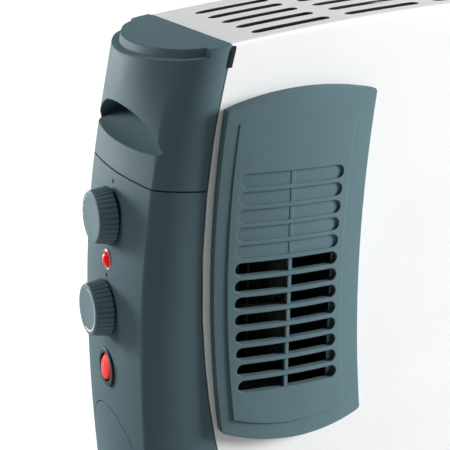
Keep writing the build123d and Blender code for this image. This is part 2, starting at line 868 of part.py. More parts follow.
def grille_middle(z):
    """Distance from the middle of the case to the bowed middle line of the grille."""
    middle = seam_half_length - grille_strip - grille_width / 2
    return -bowed(middle, seam_widest_z, grille_bow_radius, z)


def grille_outline(inset=0.0):
    """Front view of the grille: two parallel bows between an arched top and bottom."""
    left = -(seam_half_length - grille_strip) + inset
    right = left + grille_width - 2 * inset
    shape = disc(left + grille_bow_radius, seam_widest_z, grille_bow_radius)
    shape -= disc(right + grille_bow_radius, seam_widest_z, grille_bow_radius)
    middle = (left + right) / 2
    top = disc(middle + grille_top_offset, grille_top_z - grille_top_radius, grille_top_radius - inset)
    bottom_centre = grille_bottom_z + grille_bottom_radius
    bottom = disc(middle + grille_bottom_offset, bottom_centre, grille_bottom_radius - inset)
    return shape & top & bottom


def crowned_cutter(lift):
    """Everything behind the crowned front of the grille, moved out by a lift."""
    x = -(seam_half_length - grille_strip - grille_width / 2)
    crown = half_depth + grille_edge_height + grille_width**2 / 8 / grille_crown_radius
    y = -crown + grille_crown_radius
    return Pos(x, y, 0) * Cylinder(grille_crown_radius + lift, 2 * crown_height)


def louvre(z, grow=0.0):
    """Front view of one louvre slot at height z."""
    x = grille_middle(z) + louvre_offset
    return Pos(x, z) * SlotOverall(louvre_length + 2 * grow, louvre_height + 2 * grow)


def fan_grille():
    """Crowned grille with a raised field, blind slots above and open slots below."""
    outline = grille_outline()
    outline = fillet(outline.vertices(), grille_corner_round)
    front = -half_depth - grille_reach
    plate = along_y(outline, front, -half_depth) & crowned_cutter(0)
    inner = along_y(grille_outline(grille_rim_wall), front, 0) & crowned_cutter(-grille_plate)
    field = offset_field()
    plate += field
    plate -= inner
    zs = [louvre_last_z + louvre_pitch * i for i in range(louvre_count)]
    open_zs, blind_zs = zs[: louvre_count - louvre_blind], zs[louvre_count - louvre_blind :]
    plate -= [along_y(louvre(z), front, 0) for z in open_zs]
    floor = crowned_cutter(louvre_floor - grille_plate)
    plate -= [along_y(louvre(z), front, -half_depth) - floor for z in blind_zs]
    bar_low, bar_high = zs[0] - louvre_pitch / 2, zs[-1] + louvre_pitch / 2
    bar_x = grille_middle((bar_low + bar_high) / 2) + louvre_offset + louvre_bar_offset
    bar = Pos(bar_x, (bar_low + bar_high) / 2) * Rectangle(louvre_bar, bar_high - bar_low)
    bar = along_y(bar, front, 0) & crowned_cutter(-louvre_bar_drop) - crowned_cutter(-grille_plate)
    return plate + bar


def offset_field():
    """Raised field round the slots, which fades out towards the top."""
    low, high = grille_bottom_z + field_margin, field_fade_z
    middle = seam_half_length - grille_strip - grille_width / 2 - louvre_offset
    field = disc(-middle - field_half_width + grille_bow_radius, seam_widest_z, grille_bow_radius)
    field -= disc(-middle + field_half_width + grille_bow_radius, seam_widest_z, grille_bow_radius)
    centre = grille_bottom_z + grille_bottom_radius
    field &= disc(-middle + grille_bottom_offset, centre, grille_bottom_radius - field_margin)
    field &= band(low, high)
    fade = degrees((field_rise - field_rise_top) / (high - low))
    front = crowned_cutter((field_rise + field_rise_top) / 2)
    front = Pos(0, 0, (low + high) / 2) * Rot(-fade, 0, 0) * Pos(0, 0, -(low + high) / 2) * front
    return along_y(field, -half_depth - grille_reach, -half_depth - grille_rim_wall) & front


def duct_zone(spread):
    """Plan of the air path round the fan, grown outwards by a spread."""
    left, front = shroud_left_x - spread, -half_depth + sheet
    turn = fan_radius + fan_running_gap + spread
    start = (fan_x - turn, fan_y)
    middle = (fan_x - turn * cos(radians(45)), fan_y + turn * sin(radians(45)))
    end = (fan_x, fan_y + turn)
    outlet = (left_wall_x - sheet - slip, shroud_outlet_y + spread)
    return make_face([
        Line((left, front), start),
        ThreePointArc(start, middle, end),
        Line(end, outlet),
        Line(outlet, (outlet[0], front)),
        Line((outlet[0], front), (left, front)),
    ])


def throat_wall():
    """Plan of the slanted right wall and the tongue beside the fan."""
    x = fan_x + fan_radius + fan_running_gap * 0.7
    y = fan_throat_y
    front, end = -half_depth + sheet, left_wall_x - sheet - slip
    return make_face(Polyline(
        (shroud_right_x, front), (x, y), (end, y), (end, y - shroud_wall),
        (x + shroud_wall, y - shroud_wall), (shroud_right_x + shroud_wall, front), (shroud_right_x, front),
    ))


def fan_shroud():
    """Duct that leads the air round the fan and on into the heating chamber."""
    height = shroud_high_z - shroud_low_z
    walls = duct_zone(shroud_wall) - duct_zone(0) + throat_wall()
    shroud = Pos(0, 0, shroud_low_z) * extrude(walls, amount=height)
    lid = extrude(duct_zone(shroud_wall), amount=shroud_wall)
    lid -= Pos(fan_x, fan_y, 0) * Cylinder(fan_shaft_diameter / 2 + shaft_clearance, 9)
    shroud += [Pos(0, 0, shroud_low_z) * lid, Pos(0, 0, shroud_high_z - shroud_wall) * lid]
    left, right = shroud_left_x - shroud_wall, left_wall_x - sheet - slip
    lip = band(shroud_low_z - shroud_lip, shroud_high_z + shroud_lip, left, right) - front_opening()
    front = -half_depth + sheet
    return shroud + along_y(lip, front, front + shroud_wall)


def fan_low_z():
    """Height of the underside of the impeller."""
    return (shroud_low_z + shroud_high_z - fan_height) / 2


def fan_impeller():
    """Drum of leaning blades between end discs."""
    blade = Box(fan_blade_length, fan_blade_thickness, fan_height, align=BOTTOM)
    blade = Rot(0, 0, fan_blade_lean) * blade
    ring = fan_radius - fan_blade_length / 2
    drum = Cylinder(fan_radius, fan_disc, align=BOTTOM)
    drum += Pos(0, 0, fan_height - fan_disc) * Cylinder(fan_radius, fan_disc, align=BOTTOM)
    drum += Pos(0, 0, (fan_height - fan_disc) / 2) * Cylinder(fan_radius, fan_disc, align=BOTTOM)
    drum += [Rot(0, 0, 360 * i / fan_blades) * Pos(ring, 0, 0) * blade for i in range(fan_blades)]
    drum += Cylinder(fan_hub_diameter / 2, fan_height, align=BOTTOM)
    drum -= Cylinder(fan_shaft_diameter / 2 + press_gap, 3 * fan_height)
    return Pos(fan_x, fan_y, fan_low_z()) * drum


def fan_rotor():
    """Motor rotor on the long shaft that carries the impeller."""
    low = shroud_low_z - fan_disc
    high = shroud_high_z + motor_lift + motor_stack + motor_lift + 2 * sheet
    rotor = Pos(0, 0, low) * Cylinder(fan_shaft_diameter / 2, high - low, align=BOTTOM)
    core = Cylinder(motor_bore / 2 - rotor_gap, motor_stack, align=BOTTOM)
    return Pos(fan_x, fan_y, 0) * (rotor + Pos(0, 0, shroud_high_z + motor_lift) * core)


def fan_motor():
    """Shaded-pole stator: laminated stack with a coil on its front limb."""
    low = shroud_high_z + motor_lift
    stack = Box(motor_width, motor_depth, motor_stack, align=BOTTOM)
    stack -= Cylinder(motor_bore / 2, 3 * motor_stack)
    coil_y = -motor_depth / 2 + coil_depth / 2 - coil_overhang
    coil = Box(coil_length, coil_depth, coil_height)
    coil = fillet(coil.edges().filter_by(Axis.X), 3)
    coil = Pos(0, coil_y, motor_stack / 2) * coil
    coil -= Cylinder(motor_bore / 2 + 1, 3 * motor_stack)
    return Pos(fan_x, fan_y, low) * (stack + coil)


def motor_bracket():
    """Steel bridge that holds the stator over the shroud and carries the upper bearing."""
    height = 2 * motor_lift + motor_stack
    half = motor_width / 2
    bridge = Box(motor_width + 2 * sheet, motor_bracket_width, sheet, align=BOTTOM)
    bracket = Pos(0, 0, height) * bridge
    for side in (-1, 1):
        leg = Box(sheet, motor_bracket_width, height, align=BOTTOM)
        bracket += Pos(side * (half + sheet / 2), 0, 0) * leg
        toe = Box(wall_flange, motor_bracket_width, sheet, align=BOTTOM)
        bracket += Pos(side * (half + wall_flange / 2), 0, 0) * toe
    bracket -= Cylinder(fan_shaft_diameter / 2 + shaft_clearance, 3 * height)
    return Pos(fan_x, fan_y, shroud_high_z) * bracket


def inner_wall(x, inward):
    """Upright steel wall across the case, with flanges and holes for the elements."""
    low, high = floor_gap + sheet, wall_top_z
    half = half_depth - sheet
    wall = Pos(0, (low + high) / 2) * Rectangle(2 * half, high - low)
    wall -= [Pos(element_y, z) * Circle(bush_diameter / 2 - bush_groove) for z in element_zs]
    wall = Pos(x, 0, 0) * extrude(Plane.YZ * wall, amount=-inward * sheet)
    for side in (-1, 1):
        flange = Box(wall_flange, sheet, high - low)
        wall += Pos(x + inward * wall_flange / 2, side * (half - sheet / 2), (low + high) / 2) * flange
    return wall - screw_holes(panel_screw_places())


def left_wall():
    """Wall between the fan bay and the heating chamber, with the window for the air."""
    window = Box(2 * beyond, shroud_outlet_y - fan_throat_y, shroud_high_z - shroud_low_z - 2 * shroud_wall)
    middle = (shroud_outlet_y + fan_throat_y) / 2
    return inner_wall(left_wall_x, 1) - Pos(left_wall_x, middle, (shroud_high_z + shroud_low_z) / 2) * window


def bush_places():
    """Middle of each ceramic bush, in the thickness of its wall."""
    xs = (left_wall_x - sheet / 2, right_wall_x + sheet / 2)
    return [Pos(x, element_y, z) for x in xs for z in element_zs]


def element_bushes():
    """Grooved ceramic bushes that hold the tube ends in the two inner walls."""
    bush = Rot(0, 90, 0) * Cylinder(bush_diameter / 2, bush_length)
    groove = Cylinder(bush_diameter / 2 + 1, sheet + 2 * slip)
    groove -= Cylinder(bush_diameter / 2 - bush_groove - slip, sheet + 1)
    bush -= Rot(0, 90, 0) * groove
    bush -= Rot(0, 90, 0) * Cylinder(element_tube / 2 + slip, 2 * bush_length)
    return [place * bush for place in bush_places()]


def heating_element(z):
    """Tubular element with square fins and a terminal pin at each end."""
    span = right_wall_x - left_wall_x
    middle = (right_wall_x + left_wall_x) / 2
    tube_length = span + bush_length + element_overhang
    tube = Cylinder(element_tube / 2, tube_length)
    tube += Cylinder(element_pin_diameter / 2, tube_length + 2 * element_pin_length)
    fin = Box(element_fin_size, element_fin_size, element_fin_thickness)
    count = int((span - 2 * element_end_length) / element_fin_pitch)
    tube += [Pos(0, 0, element_fin_pitch * (i - count / 2)) * fin for i in range(count + 1)]
    return Pos(middle, element_y, z) * Rot(0, 90, 0) * tube


def heat_shield():
    """Bent sheet that keeps the front panel cool, held between the inner walls."""
    length = right_wall_x - left_wall_x - 2 * slip
    middle = (right_wall_x + left_wall_x) / 2
    rise = shield_top_z - shield_bend_z
    lower = Pos(middle, shield_y, shield_low_z)
    shield = lower * Box(length, sheet, shield_bend_z - shield_low_z, align=BOTTOM)
    upper = Pos(middle, shield_y, shield_bend_z) * Rot(-shield_lean, 0, 0)
    return shield + upper * Pos(0, 0, -sheet / 4) * Box(length, sheet, rise, align=BOTTOM)


def thermal_cutout():
    """Bimetal cut-out on the left wall, on the heating chamber's side, with two tags."""
    disc_body = Cylinder(cutout_diameter / 2, cutout_height, align=BOTTOM)
    for side in (-1, 1):
        disc_body += Pos(side * cutout_diameter / 4, 0, cutout_height) * Rot(0, 0, 90) * tag()
    return Pos(left_wall_x, cutout_y, cutout_z) * Rot(0, 90, 0) * disc_body


def terminal_block():
    """Three-way terminal block on the base plate."""
    block = Box(terminal_length, terminal_depth, terminal_height, align=BOTTOM)
    block = fillet(block.edges().filter_by(Axis.Z), 2)
    for i in range(terminal_ways):
        x = terminal_pitch * (i - (terminal_ways - 1) / 2)
        block -= Pos(x, 0, terminal_height * 0.4) * Rot(90, 0, 0) * Cylinder(terminal_hole / 2, 2 * terminal_length)
        block -= Pos(x, 0, terminal_height) * Cylinder(terminal_hole / 2, terminal_height)
    return Pos(terminal_x, terminal_y, floor_gap + sheet) * block


def cable_inlet():
    """Gland in the back panel with a bore for the mains lead."""
    flange = Cylinder(inlet_flange_diameter / 2, inlet_flange_height, align=BOTTOM)
    flange = fillet(flange.edges().sort_by(Axis.Z)[-1], 1)
    neck = Cylinder(inlet_neck_diameter / 2, sheet + inlet_nut_height + inlet_neck_spare, align=TOP)
    nut = RegularPolygon(inlet_flange_diameter / 2 - 1, 6)
    gland = flange + neck + Pos(0, 0, -sheet - inlet_nut_height) * extrude(nut, amount=inlet_nut_height)
    gland -= Cylinder(inlet_bore_radius, 12 * beyond)
    return Pos(inlet_x, half_depth, inlet_z) * Rot(-90, 0, 0) * gland


def foot_profile(inset=0.0):
    """Side view of half a foot's outer form, drawn in by an inset."""
    top, tip = floor_gap - inset, foot_tip_z - inset
    neck, end, low = foot_neck_half - inset, foot_half_length - inset, pad_thickness
    middle = ((neck + end) / 2 - 2, (top + tip) / 2 - foot_arm_sag)
    return make_face([
        Line((0, top), (neck, top)),
        ThreePointArc((neck, top), middle, (end, tip)),
        Line((end, tip), (end, low)),
        Line((end, low), (0, low)),
        Line((0, low), (0, top)),
    ])


def foot(x):
    """Hollow moulded foot across the case, arched underneath between its pads."""
    half = extrude(Plane.YZ * foot_profile(), amount=foot_width / 2, both=True)
    half = fillet(half.edges().filter_by(GeomType.CIRCLE), foot_round)
    block = half + mirror(half, Plane.XZ)
    hollow = extrude(Plane.YZ * foot_profile(foot_wall), amount=foot_width / 2 - foot_wall, both=True)
    hollow &= Box(foot_width, 2 * (foot_arch_half - foot_rib), 4 * floor_gap)
    block -= hollow + mirror(hollow, Plane.XZ)
    low, rise = pad_thickness, foot_arch_rise
    arch = make_face([
        ThreePointArc((-foot_arch_half, low), (0, low + rise), (foot_arch_half, low)),
        Line((foot_arch_half, low), (foot_arch_half, -beyond)),
        Line((foot_arch_half, -beyond), (-foot_arch_half, -beyond)),
        Line((-foot_arch_half, -beyond), (-foot_arch_half, low)),
    ])
    block -= extrude(Plane.YZ * arch, amount=foot_width, both=True)
    return Pos(x, 0, 0) * block - screw_holes(foot_screw_places())


def foot_pads():
    """Rubber pads under the four ends of the feet."""
    pad = Box(pad_width, pad_length, pad_thickness, align=BOTTOM)
    pad = fillet(pad.edges().filter_by(Axis.Z), pad_thickness)
    y = foot_half_length - pad_inset - pad_length / 2
    return [Pos(side * foot_x, face * y, 0) * pad for side in (-1, 1) for face in (-1, 1)]


def to_right(shape):
    """Mirror image of a left piece, for the right end."""
    return mirror(shape, Plane.YZ)


def save(name, pieces):
    """Write one node, moved so that the middle of the whole heater is at x = 0."""
    pieces = pieces if isinstance(pieces, list) else [pieces]
    solids = [Pos(middle_shift, 0, 0) * solid for piece in pieces for solid in piece.solids()]
    shape = solids[0] if len(solids) == 1 else Compound(children=solids)
    export_step(shape, f"parts/{name}.step")


left_reach = max(face_at(z) for z in (thermostat_z, selector_z)) + knob_lift + knob_height
right_reach = face_at(ridge_widest_z)
middle_shift = (left_reach - right_reach) / 2

save("case_wrap", case_wrap())
save("back_panel", back_panel())
save("base_plate", base_plate())
save("seam_clips", seam_clips())
save("left_handle_cover", handle_cover())
save("right_handle_cover", to_right(handle_cover()))
save("left_control_housing", control_housing())
save("right_end_housing", to_right(end_housing()))
save("left_lower_cover", lower_cover())
save("right_lower_cover", to_right(lower_cover()))
save("thermostat_knob", knob(thermostat_z))
save("selector_knob", knob(selector_z))
save("thermostat_shaft", shaft(thermostat_z))
save("selector_shaft", shaft(selector_z))
save("thermostat_body", control_body(thermostat_z))
save("selector_body", control_body(selector_z))
save("shaft_nuts", shaft_nuts())
save("control_plate", control_plate())
save("lamp_lens", lamp_lens())
save("lamp_holder", lamp_holder())
save("rocker_bezel", rocker_bezel())
save("rocker_button", rocker_button())
save("fan_grille", fan_grille())
save("fan_shroud", fan_shroud())
save("fan_impeller", fan_impeller())
save("fan_rotor", fan_rotor())
save("fan_motor", fan_motor())
save("motor_bracket", motor_bracket())
save("left_inner_wall", left_wall())
save("right_inner_wall", inner_wall(right_wall_x, -1))
save("element_bushes", element_bushes())
save("lower_heating_element", heating_element(element_zs[0]))
save("upper_heating_element", heating_element(element_zs[1]))
save("heat_shield", heat_shield())
save("thermal_cutout", thermal_cutout())
save("terminal_block", terminal_block())
save("cable_inlet", cable_inlet())
save("left_foot", foot(-foot_x))
save("right_foot", foot(foot_x))
save("foot_pads", foot_pads())
save("foot_screws", [place * screw(foot_wall + sheet + screw_spare) for place in foot_screw_places()])
save("cover_screws", [place * screw(sheet + collar_wall + screw_spare) for place in cover_screw_places()])
save("panel_screws", [place * screw(2 * sheet + screw_spare) for place in panel_screw_places()])
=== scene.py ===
"""Looks of a convector heater with a turbo fan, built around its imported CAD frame.

Metres, +Z up, front towards -Y, the controls on the end at -X. The case is symmetrical
about x = MIDDLE_SHIFT (in mm), as in the part's source, and the floor is z = 0.
"""

import json
import logging
import math
from dataclasses import dataclass, field
from enum import Enum

import bmesh
import bpy
import numpy as np
from mathutils import Matrix, Vector


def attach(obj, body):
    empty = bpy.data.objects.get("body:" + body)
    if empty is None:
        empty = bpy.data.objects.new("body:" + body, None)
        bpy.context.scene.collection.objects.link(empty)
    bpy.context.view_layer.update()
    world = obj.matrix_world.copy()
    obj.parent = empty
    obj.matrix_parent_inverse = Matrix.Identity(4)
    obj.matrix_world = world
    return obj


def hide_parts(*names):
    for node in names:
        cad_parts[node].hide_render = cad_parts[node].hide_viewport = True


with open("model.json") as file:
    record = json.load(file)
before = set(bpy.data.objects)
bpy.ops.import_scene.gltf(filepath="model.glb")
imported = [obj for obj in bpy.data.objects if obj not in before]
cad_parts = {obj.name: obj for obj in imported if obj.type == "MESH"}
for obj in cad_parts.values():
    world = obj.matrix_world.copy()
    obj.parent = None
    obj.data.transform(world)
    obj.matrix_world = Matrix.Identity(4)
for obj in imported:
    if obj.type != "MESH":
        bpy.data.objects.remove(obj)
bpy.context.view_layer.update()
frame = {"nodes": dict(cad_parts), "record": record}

logging.basicConfig(level=logging.INFO, format="%(message)s")
log = logging.getLogger("heater")

Colour = tuple[float, float, float]
Place = tuple[float, float, float]
MM = 0.001
MIDDLE_SHIFT = 5.639196


def add_mesh(name: str, points: np.ndarray, faces: np.ndarray) -> bpy.types.Object:
    """Makes a smooth-shaded object from whole arrays.

    Args:
        name: name of the object.
        points: rows of x, y, z.
        faces: rows of four vertex numbers, the last two equal in a triangle.

    Returns:
        The object, at the origin.
    """
    points = np.asarray(points, dtype=np.float32)
    faces = np.asarray(faces, dtype=np.int32)
    three = faces[:, 2] == faces[:, 3]
    counts = np.where(three, 3, 4)
    keep = np.ones(faces.shape, dtype=bool)
    keep[three, 3] = False
    data = bpy.data.meshes.new(name)
    data.vertices.add(len(points))
    data.vertices.foreach_set("co", points.ravel())
    data.loops.add(int(counts.sum()))
    data.loops.foreach_set("vertex_index", faces[keep])
    data.polygons.add(len(faces))
    starts = np.concatenate(([0], np.cumsum(counts)[:-1])).astype(np.int32)
    data.polygons.foreach_set("loop_start", starts)
    data.polygons.foreach_set("use_smooth", np.ones(len(faces), dtype=bool))
    data.update(calc_edges=True)
    data.validate()
    item = bpy.data.objects.new(name, data)
    bpy.context.collection.objects.link(item)
    return item


def grid_faces(rows: int, columns: int, round_columns: bool = False) -> np.ndarray:
    """Quads of a grid of vertices numbered row by row.

    Args:
        rows: number of rows of vertices.
        columns: vertices in a row.
        round_columns: whether the last column joins the first.

    Returns:
        Rows of four vertex numbers.
    """
    across = columns if round_columns else columns - 1
    i, j = np.meshgrid(np.arange(rows - 1), np.arange(across), indexing="ij")
    k = (j + 1) % columns
    here, above = i * columns, (i + 1) * columns
    return np.stack((here + j, here + k, above + k, above + j), axis=-1).reshape(-1, 4)


def lathe(radii: np.ndarray, heights: np.ndarray, steps: int) -> tuple[np.ndarray, np.ndarray]:
    """Turns a profile about Z: x = r cos a, y = r sin a, z = h.

    The profile runs from the top outwards and down. An end with a radius of zero is one point.

    Args:
        radii: radius of each profile point, or a row of radii round the circle for each.
        heights: height of each profile point.
        steps: points round the circle.

    Returns:
        Points and faces.
    """
    angle = np.linspace(0, 2 * np.pi, steps, endpoint=False)
    radii = np.asarray(radii, dtype=float).reshape(len(heights), -1)
    radii = np.broadcast_to(radii, (len(heights), steps))
    closed_top, closed_base = radii[0, 0] == 0, radii[-1, 0] == 0
    body = slice(1 if closed_top else 0, len(heights) - 1 if closed_base else len(heights))
    r = radii[body]
    h = np.broadcast_to(np.asarray(heights, dtype=float)[body, None], r.shape)
    points = np.stack((r * np.cos(angle), r * np.sin(angle), h), axis=-1).reshape(-1, 3)
    faces = [grid_faces(len(r), steps, True)[:, ::-1]]
    j = np.arange(steps)
    if closed_top:
        points = np.concatenate((points, [[0.0, 0.0, heights[0]]]))
        top = np.full(steps, len(points) - 1)
        faces.append(np.stack((top, j, (j + 1) % steps, (j + 1) % steps), axis=-1))
    if closed_base:
        points = np.concatenate((points, [[0.0, 0.0, heights[-1]]]))
        base, last = np.full(steps, len(points) - 1), (len(r) - 1) * steps
        faces.append(np.stack((base, last + (j + 1) % steps, last + j, last + j), axis=-1))
    return points, np.concatenate(faces)


def weld(item: bpy.types.Object, gap: float = 2e-6) -> None:
    """Joins the vertices of a mesh that lie at one place.

    Args:
        item: the object.
        gap: how far apart they may be.
    """
    mesh = bmesh.new()
    mesh.from_mesh(item.data)
    bmesh.ops.remove_doubles(mesh, verts=mesh.verts, dist=gap)
    mesh.to_mesh(item.data)
    mesh.free()


def rounded(radius: float, height: float, turn: float, steps: int = 6) -> tuple[np.ndarray, np.ndarray]:
    """Quarter circle at the outer top edge of a turned piece, from the top round to the side.

    Args:
        radius: outer radius of the piece.
        height: height of its top.
        turn: radius of the edge.
        steps: points on it.

    Returns:
        Radii and heights.
    """
    angle = np.linspace(np.pi / 2, 0, steps)
    return radius - turn + turn * np.cos(angle), height - turn + turn * np.sin(angle)


class Wiring:
    """Node tree of one material, with short calls for the nodes that the finishes use."""

    def __init__(self, name: str) -> None:
        """Starts a material.

        Args:
            name: name of the material.
        """
        self.material = bpy.data.materials.new(name)
        self.material.use_nodes = True
        self.tree = self.material.node_tree
        self.tree.nodes.clear()
        self.output = self.add("ShaderNodeOutputMaterial")
        self.shader = self.add("ShaderNodeBsdfPrincipled")
        self.join(self.shader.outputs["BSDF"], self.output.inputs["Surface"])
        coordinates = self.add("ShaderNodeTexCoord")
        self.place = coordinates.outputs["Object"]
        self.normal = coordinates.outputs["Normal"]

    def add(self, kind: str, **settings: object) -> bpy.types.Node:
        """Adds a node.

        Args:
            kind: Blender's name of the node type.
            settings: properties to set on it.

        Returns:
            The new node.
        """
        node = self.tree.nodes.new(kind)
        for key, value in settings.items():
            setattr(node, key, value)
        return node

    def join(self, source: object, target: object) -> None:
        """Links a socket to a socket, or sets a constant on it.

        Args:
            source: output socket or constant.
            target: input socket.
        """
        if isinstance(source, bpy.types.NodeSocket):
            self.tree.links.new(source, target)
        else:
            target.default_value = source

    def noise(self, size: float, detail: float = 2.0) -> object:
        """Fractal noise about 0.5.

        Args:
            size: size of its blotches in metres.
            detail: octaves of finer noise.

        Returns:
            Socket of the value.
        """
        node = self.add("ShaderNodeTexNoise")
        self.join(self.place, node.inputs["Vector"])
        node.inputs["Scale"].default_value = 1.0 / size
        node.inputs["Detail"].default_value = detail
        return node.outputs["Fac"]

    def cells(self, size: float) -> bpy.types.Node:
        """Voronoi cells of a size in metres.

        Args:
            size: size of a cell.

        Returns:
            The node.
        """
        node = self.add("ShaderNodeTexVoronoi", feature="F1")
        self.join(self.place, node.inputs["Vector"])
        node.inputs["Scale"].default_value = 1.0 / size
        return node

    def span(
        self, value: object, low: float, high: float, start: float = 0.3, end: float = 0.7
    ) -> object:
        """Maps a value from one range to another, clamped.

        Args:
            value: socket to map.
            low: result at the start of the range.
            high: result at its end.
            start: start of the range.
            end: end of the range.

        Returns:
            Socket of the mapped value.
        """
        node = self.add("ShaderNodeMapRange")
        self.join(value, node.inputs["Value"])
        for key, number in (("From Min", start), ("From Max", end), ("To Min", low), ("To Max", high)):
            self.join(number, node.inputs[key])
        return node.outputs["Result"]

    def sum(self, first: object, second: object, how: str = "ADD") -> object:
        """Joins two values with a math node.

        Args:
            first: socket or number.
            second: socket or number.
            how: operation of the node.

        Returns:
            Socket of the result.
        """
        node = self.add("ShaderNodeMath", operation=how)
        self.join(first, node.inputs[0])
        self.join(second, node.inputs[1])
        return node.outputs[0]

    def blend(self, share: object, first: object, second: object) -> object:
        """Mixes two colours.

        Args:
            share: how much of the second, 0 to 1.
            first: colour or socket.
            second: colour or socket.

        Returns:
            Socket of the mixed colour.
        """
        node = self.add("ShaderNodeMix", data_type="RGBA")
        self.join(share, node.inputs["Factor"])
        for source, key in ((first, "A"), (second, "B")):
            socket = next(s for s in node.inputs if s.name == key and s.type == "RGBA")
            self.join(source if isinstance(source, bpy.types.NodeSocket) else (*source, 1.0), socket)
        return next(s for s in node.outputs if s.type == "RGBA")

    def emboss(self, height: object, depth: float, edge: float = 0.0) -> None:
        """Raises the surface by a height map, over edges that look softly broken.

        Args:
            height: socket of a value from 0 to 1.
            depth: what 1 stands for, in metres.
            edge: radius of the broken edges.
        """
        node = self.add("ShaderNodeBump")
        if edge:
            soft = self.add("ShaderNodeBevel", samples=6)
            soft.inputs["Radius"].default_value = edge
            self.join(soft.outputs["Normal"], node.inputs["Normal"])
        node.inputs["Strength"].default_value = 1.0
        node.inputs["Distance"].default_value = depth
        self.join(height, node.inputs["Height"])
        self.join(node.outputs["Normal"], self.shader.inputs["Normal"])

    def put(self, **sockets: object) -> None:
        """Sets or links inputs of the shader, an underscore standing for a space.

        Args:
            sockets: a value or a socket for each input.
        """
        for key, value in sockets.items():
            self.join(value, self.shader.inputs[key.replace("_", " ")])


@dataclass(frozen=True)
class Moulding:
    """Moulded plastic: a fine spark-eroded grain, slow flow shades and a satin sheen."""

    name: str
    colour: Colour
    roughness: float = 0.42
    specular: float = 0.3
    grain_size: float = 0.0006
    grain_depth: float = 0.00002
    flow_size: float = 0.07
    flow: float = 0.06
    edge: float = 0.0
    glow: float = 0.0

    def material(self) -> bpy.types.Material:
        """Builds the material.

        Returns:
            The material.
        """
        wiring = Wiring(self.name)
        shades = [tuple(c * (1 + side * self.flow) for c in self.colour) for side in (-1, 1)]
        flow = wiring.noise(self.flow_size)
        speck = wiring.noise(self.grain_size * 2.5, 3.0)
        share = wiring.sum(wiring.span(flow, 0.0, 0.7), wiring.span(speck, 0.0, 0.3))
        wiring.put(
            Base_Color=wiring.blend(share, *shades),
            Roughness=wiring.span(wiring.noise(0.012, 3.0), self.roughness - 0.03, self.roughness + 0.04),
            Specular_IOR_Level=self.specular,
            Emission_Color=(*self.colour, 1.0),
            Emission_Strength=self.glow,
        )
        wiring.emboss(wiring.noise(self.grain_size, 2.0), self.grain_depth, edge=self.edge)
        return wiring.material


@dataclass(frozen=True)
class PowderCoat:
    """White powder coat on steel sheet: soft orange peel and a slight warm mottle.

    The side of the sheet that faces the middle of the case is near black, and so are the cut walls of the
    slots in the top: there the normal lies flat, within the top's depth. This near black is a dark inner
    coat in part and painted shade in part: it stands for the shade inside the case seen through the slots.
    """

    name: str
    colour: Colour
    roughness: float = 0.4
    peel_size: float = 0.0014
    peel_depth: float = 0.000012
    # Near-black inner colour: a dark inner coat in part, painted shade for the case's dark inside in part.
    inside: Colour = (0.03, 0.034, 0.037)
    middle: Colour = (0.0056, 0.0, 0.2)
    slots_above: float = 0.325
    slots_within: float = 0.053
    flat_below: float = 0.6
    edge: float = 0.0006

    def material(self) -> bpy.types.Material:
        """Builds the material.

        Returns:
            The material.
        """
        wiring = Wiring(self.name)
        deep = tuple(c * 0.975 for c in self.colour)
        share = wiring.span(wiring.noise(0.05), 0.0, 1.0)
        # Mask of the painted shade: faces turned to the middle of the case, and the slot walls in the top,
        # take the near-black inner colour.
        outward = wiring.add("ShaderNodeVectorMath", operation="SUBTRACT")
        wiring.join(wiring.place, outward.inputs[0])
        outward.inputs[1].default_value = self.middle
        faces = wiring.add("ShaderNodeVectorMath", operation="DOT_PRODUCT")
        wiring.join(outward.outputs[0], faces.inputs[0])
        wiring.join(wiring.normal, faces.inputs[1])
        outside = wiring.sum(faces.outputs["Value"], 0.0, "GREATER_THAN")
        place = wiring.add("ShaderNodeSeparateXYZ")
        wiring.join(wiring.place, place.inputs[0])
        lean = wiring.add("ShaderNodeSeparateXYZ")
        wiring.join(wiring.normal, lean.inputs[0])
        wall = wiring.sum(wiring.sum(lean.outputs[2], 0.0, "ABSOLUTE"), self.flat_below, "LESS_THAN")
        high = wiring.sum(place.outputs[2], self.slots_above, "GREATER_THAN")
        off_middle = wiring.sum(place.outputs[1], 0.0, "ABSOLUTE")
        deep_in = wiring.sum(off_middle, self.slots_within, "LESS_THAN")
        cut = wiring.sum(wiring.sum(wall, high, "MULTIPLY"), deep_in, "MULTIPLY")
        outside = wiring.sum(outside, wiring.sum(1.0, cut, "SUBTRACT"), "MULTIPLY")
        wiring.put(
            Base_Color=wiring.blend(outside, self.inside, wiring.blend(share, deep, self.colour)),
            Roughness=wiring.span(wiring.noise(0.02), self.roughness - 0.04, self.roughness + 0.05),
            Specular_IOR_Level=0.4,
        )
        wiring.emboss(wiring.noise(self.peel_size, 1.0), self.peel_depth, edge=self.edge)
        return wiring.material


@dataclass(frozen=True)
class Paint:
    """Printed paint on plastic, a little uneven at its thin places."""

    name: str
    colour: Colour

    def material(self) -> bpy.types.Material:
        """Builds the material.

        Returns:
            The material.
        """
        wiring = Wiring(self.name)
        thin = tuple(c * 0.8 for c in self.colour)
        share = wiring.span(wiring.noise(0.0012), 0.0, 1.0, 0.35, 0.6)
        wiring.put(
            Base_Color=wiring.blend(share, thin, self.colour),
            Roughness=wiring.span(wiring.noise(0.003), 0.4, 0.55),
            Specular_IOR_Level=0.3,
        )
        wiring.emboss(wiring.noise(0.0005), 0.00001)
        return wiring.material


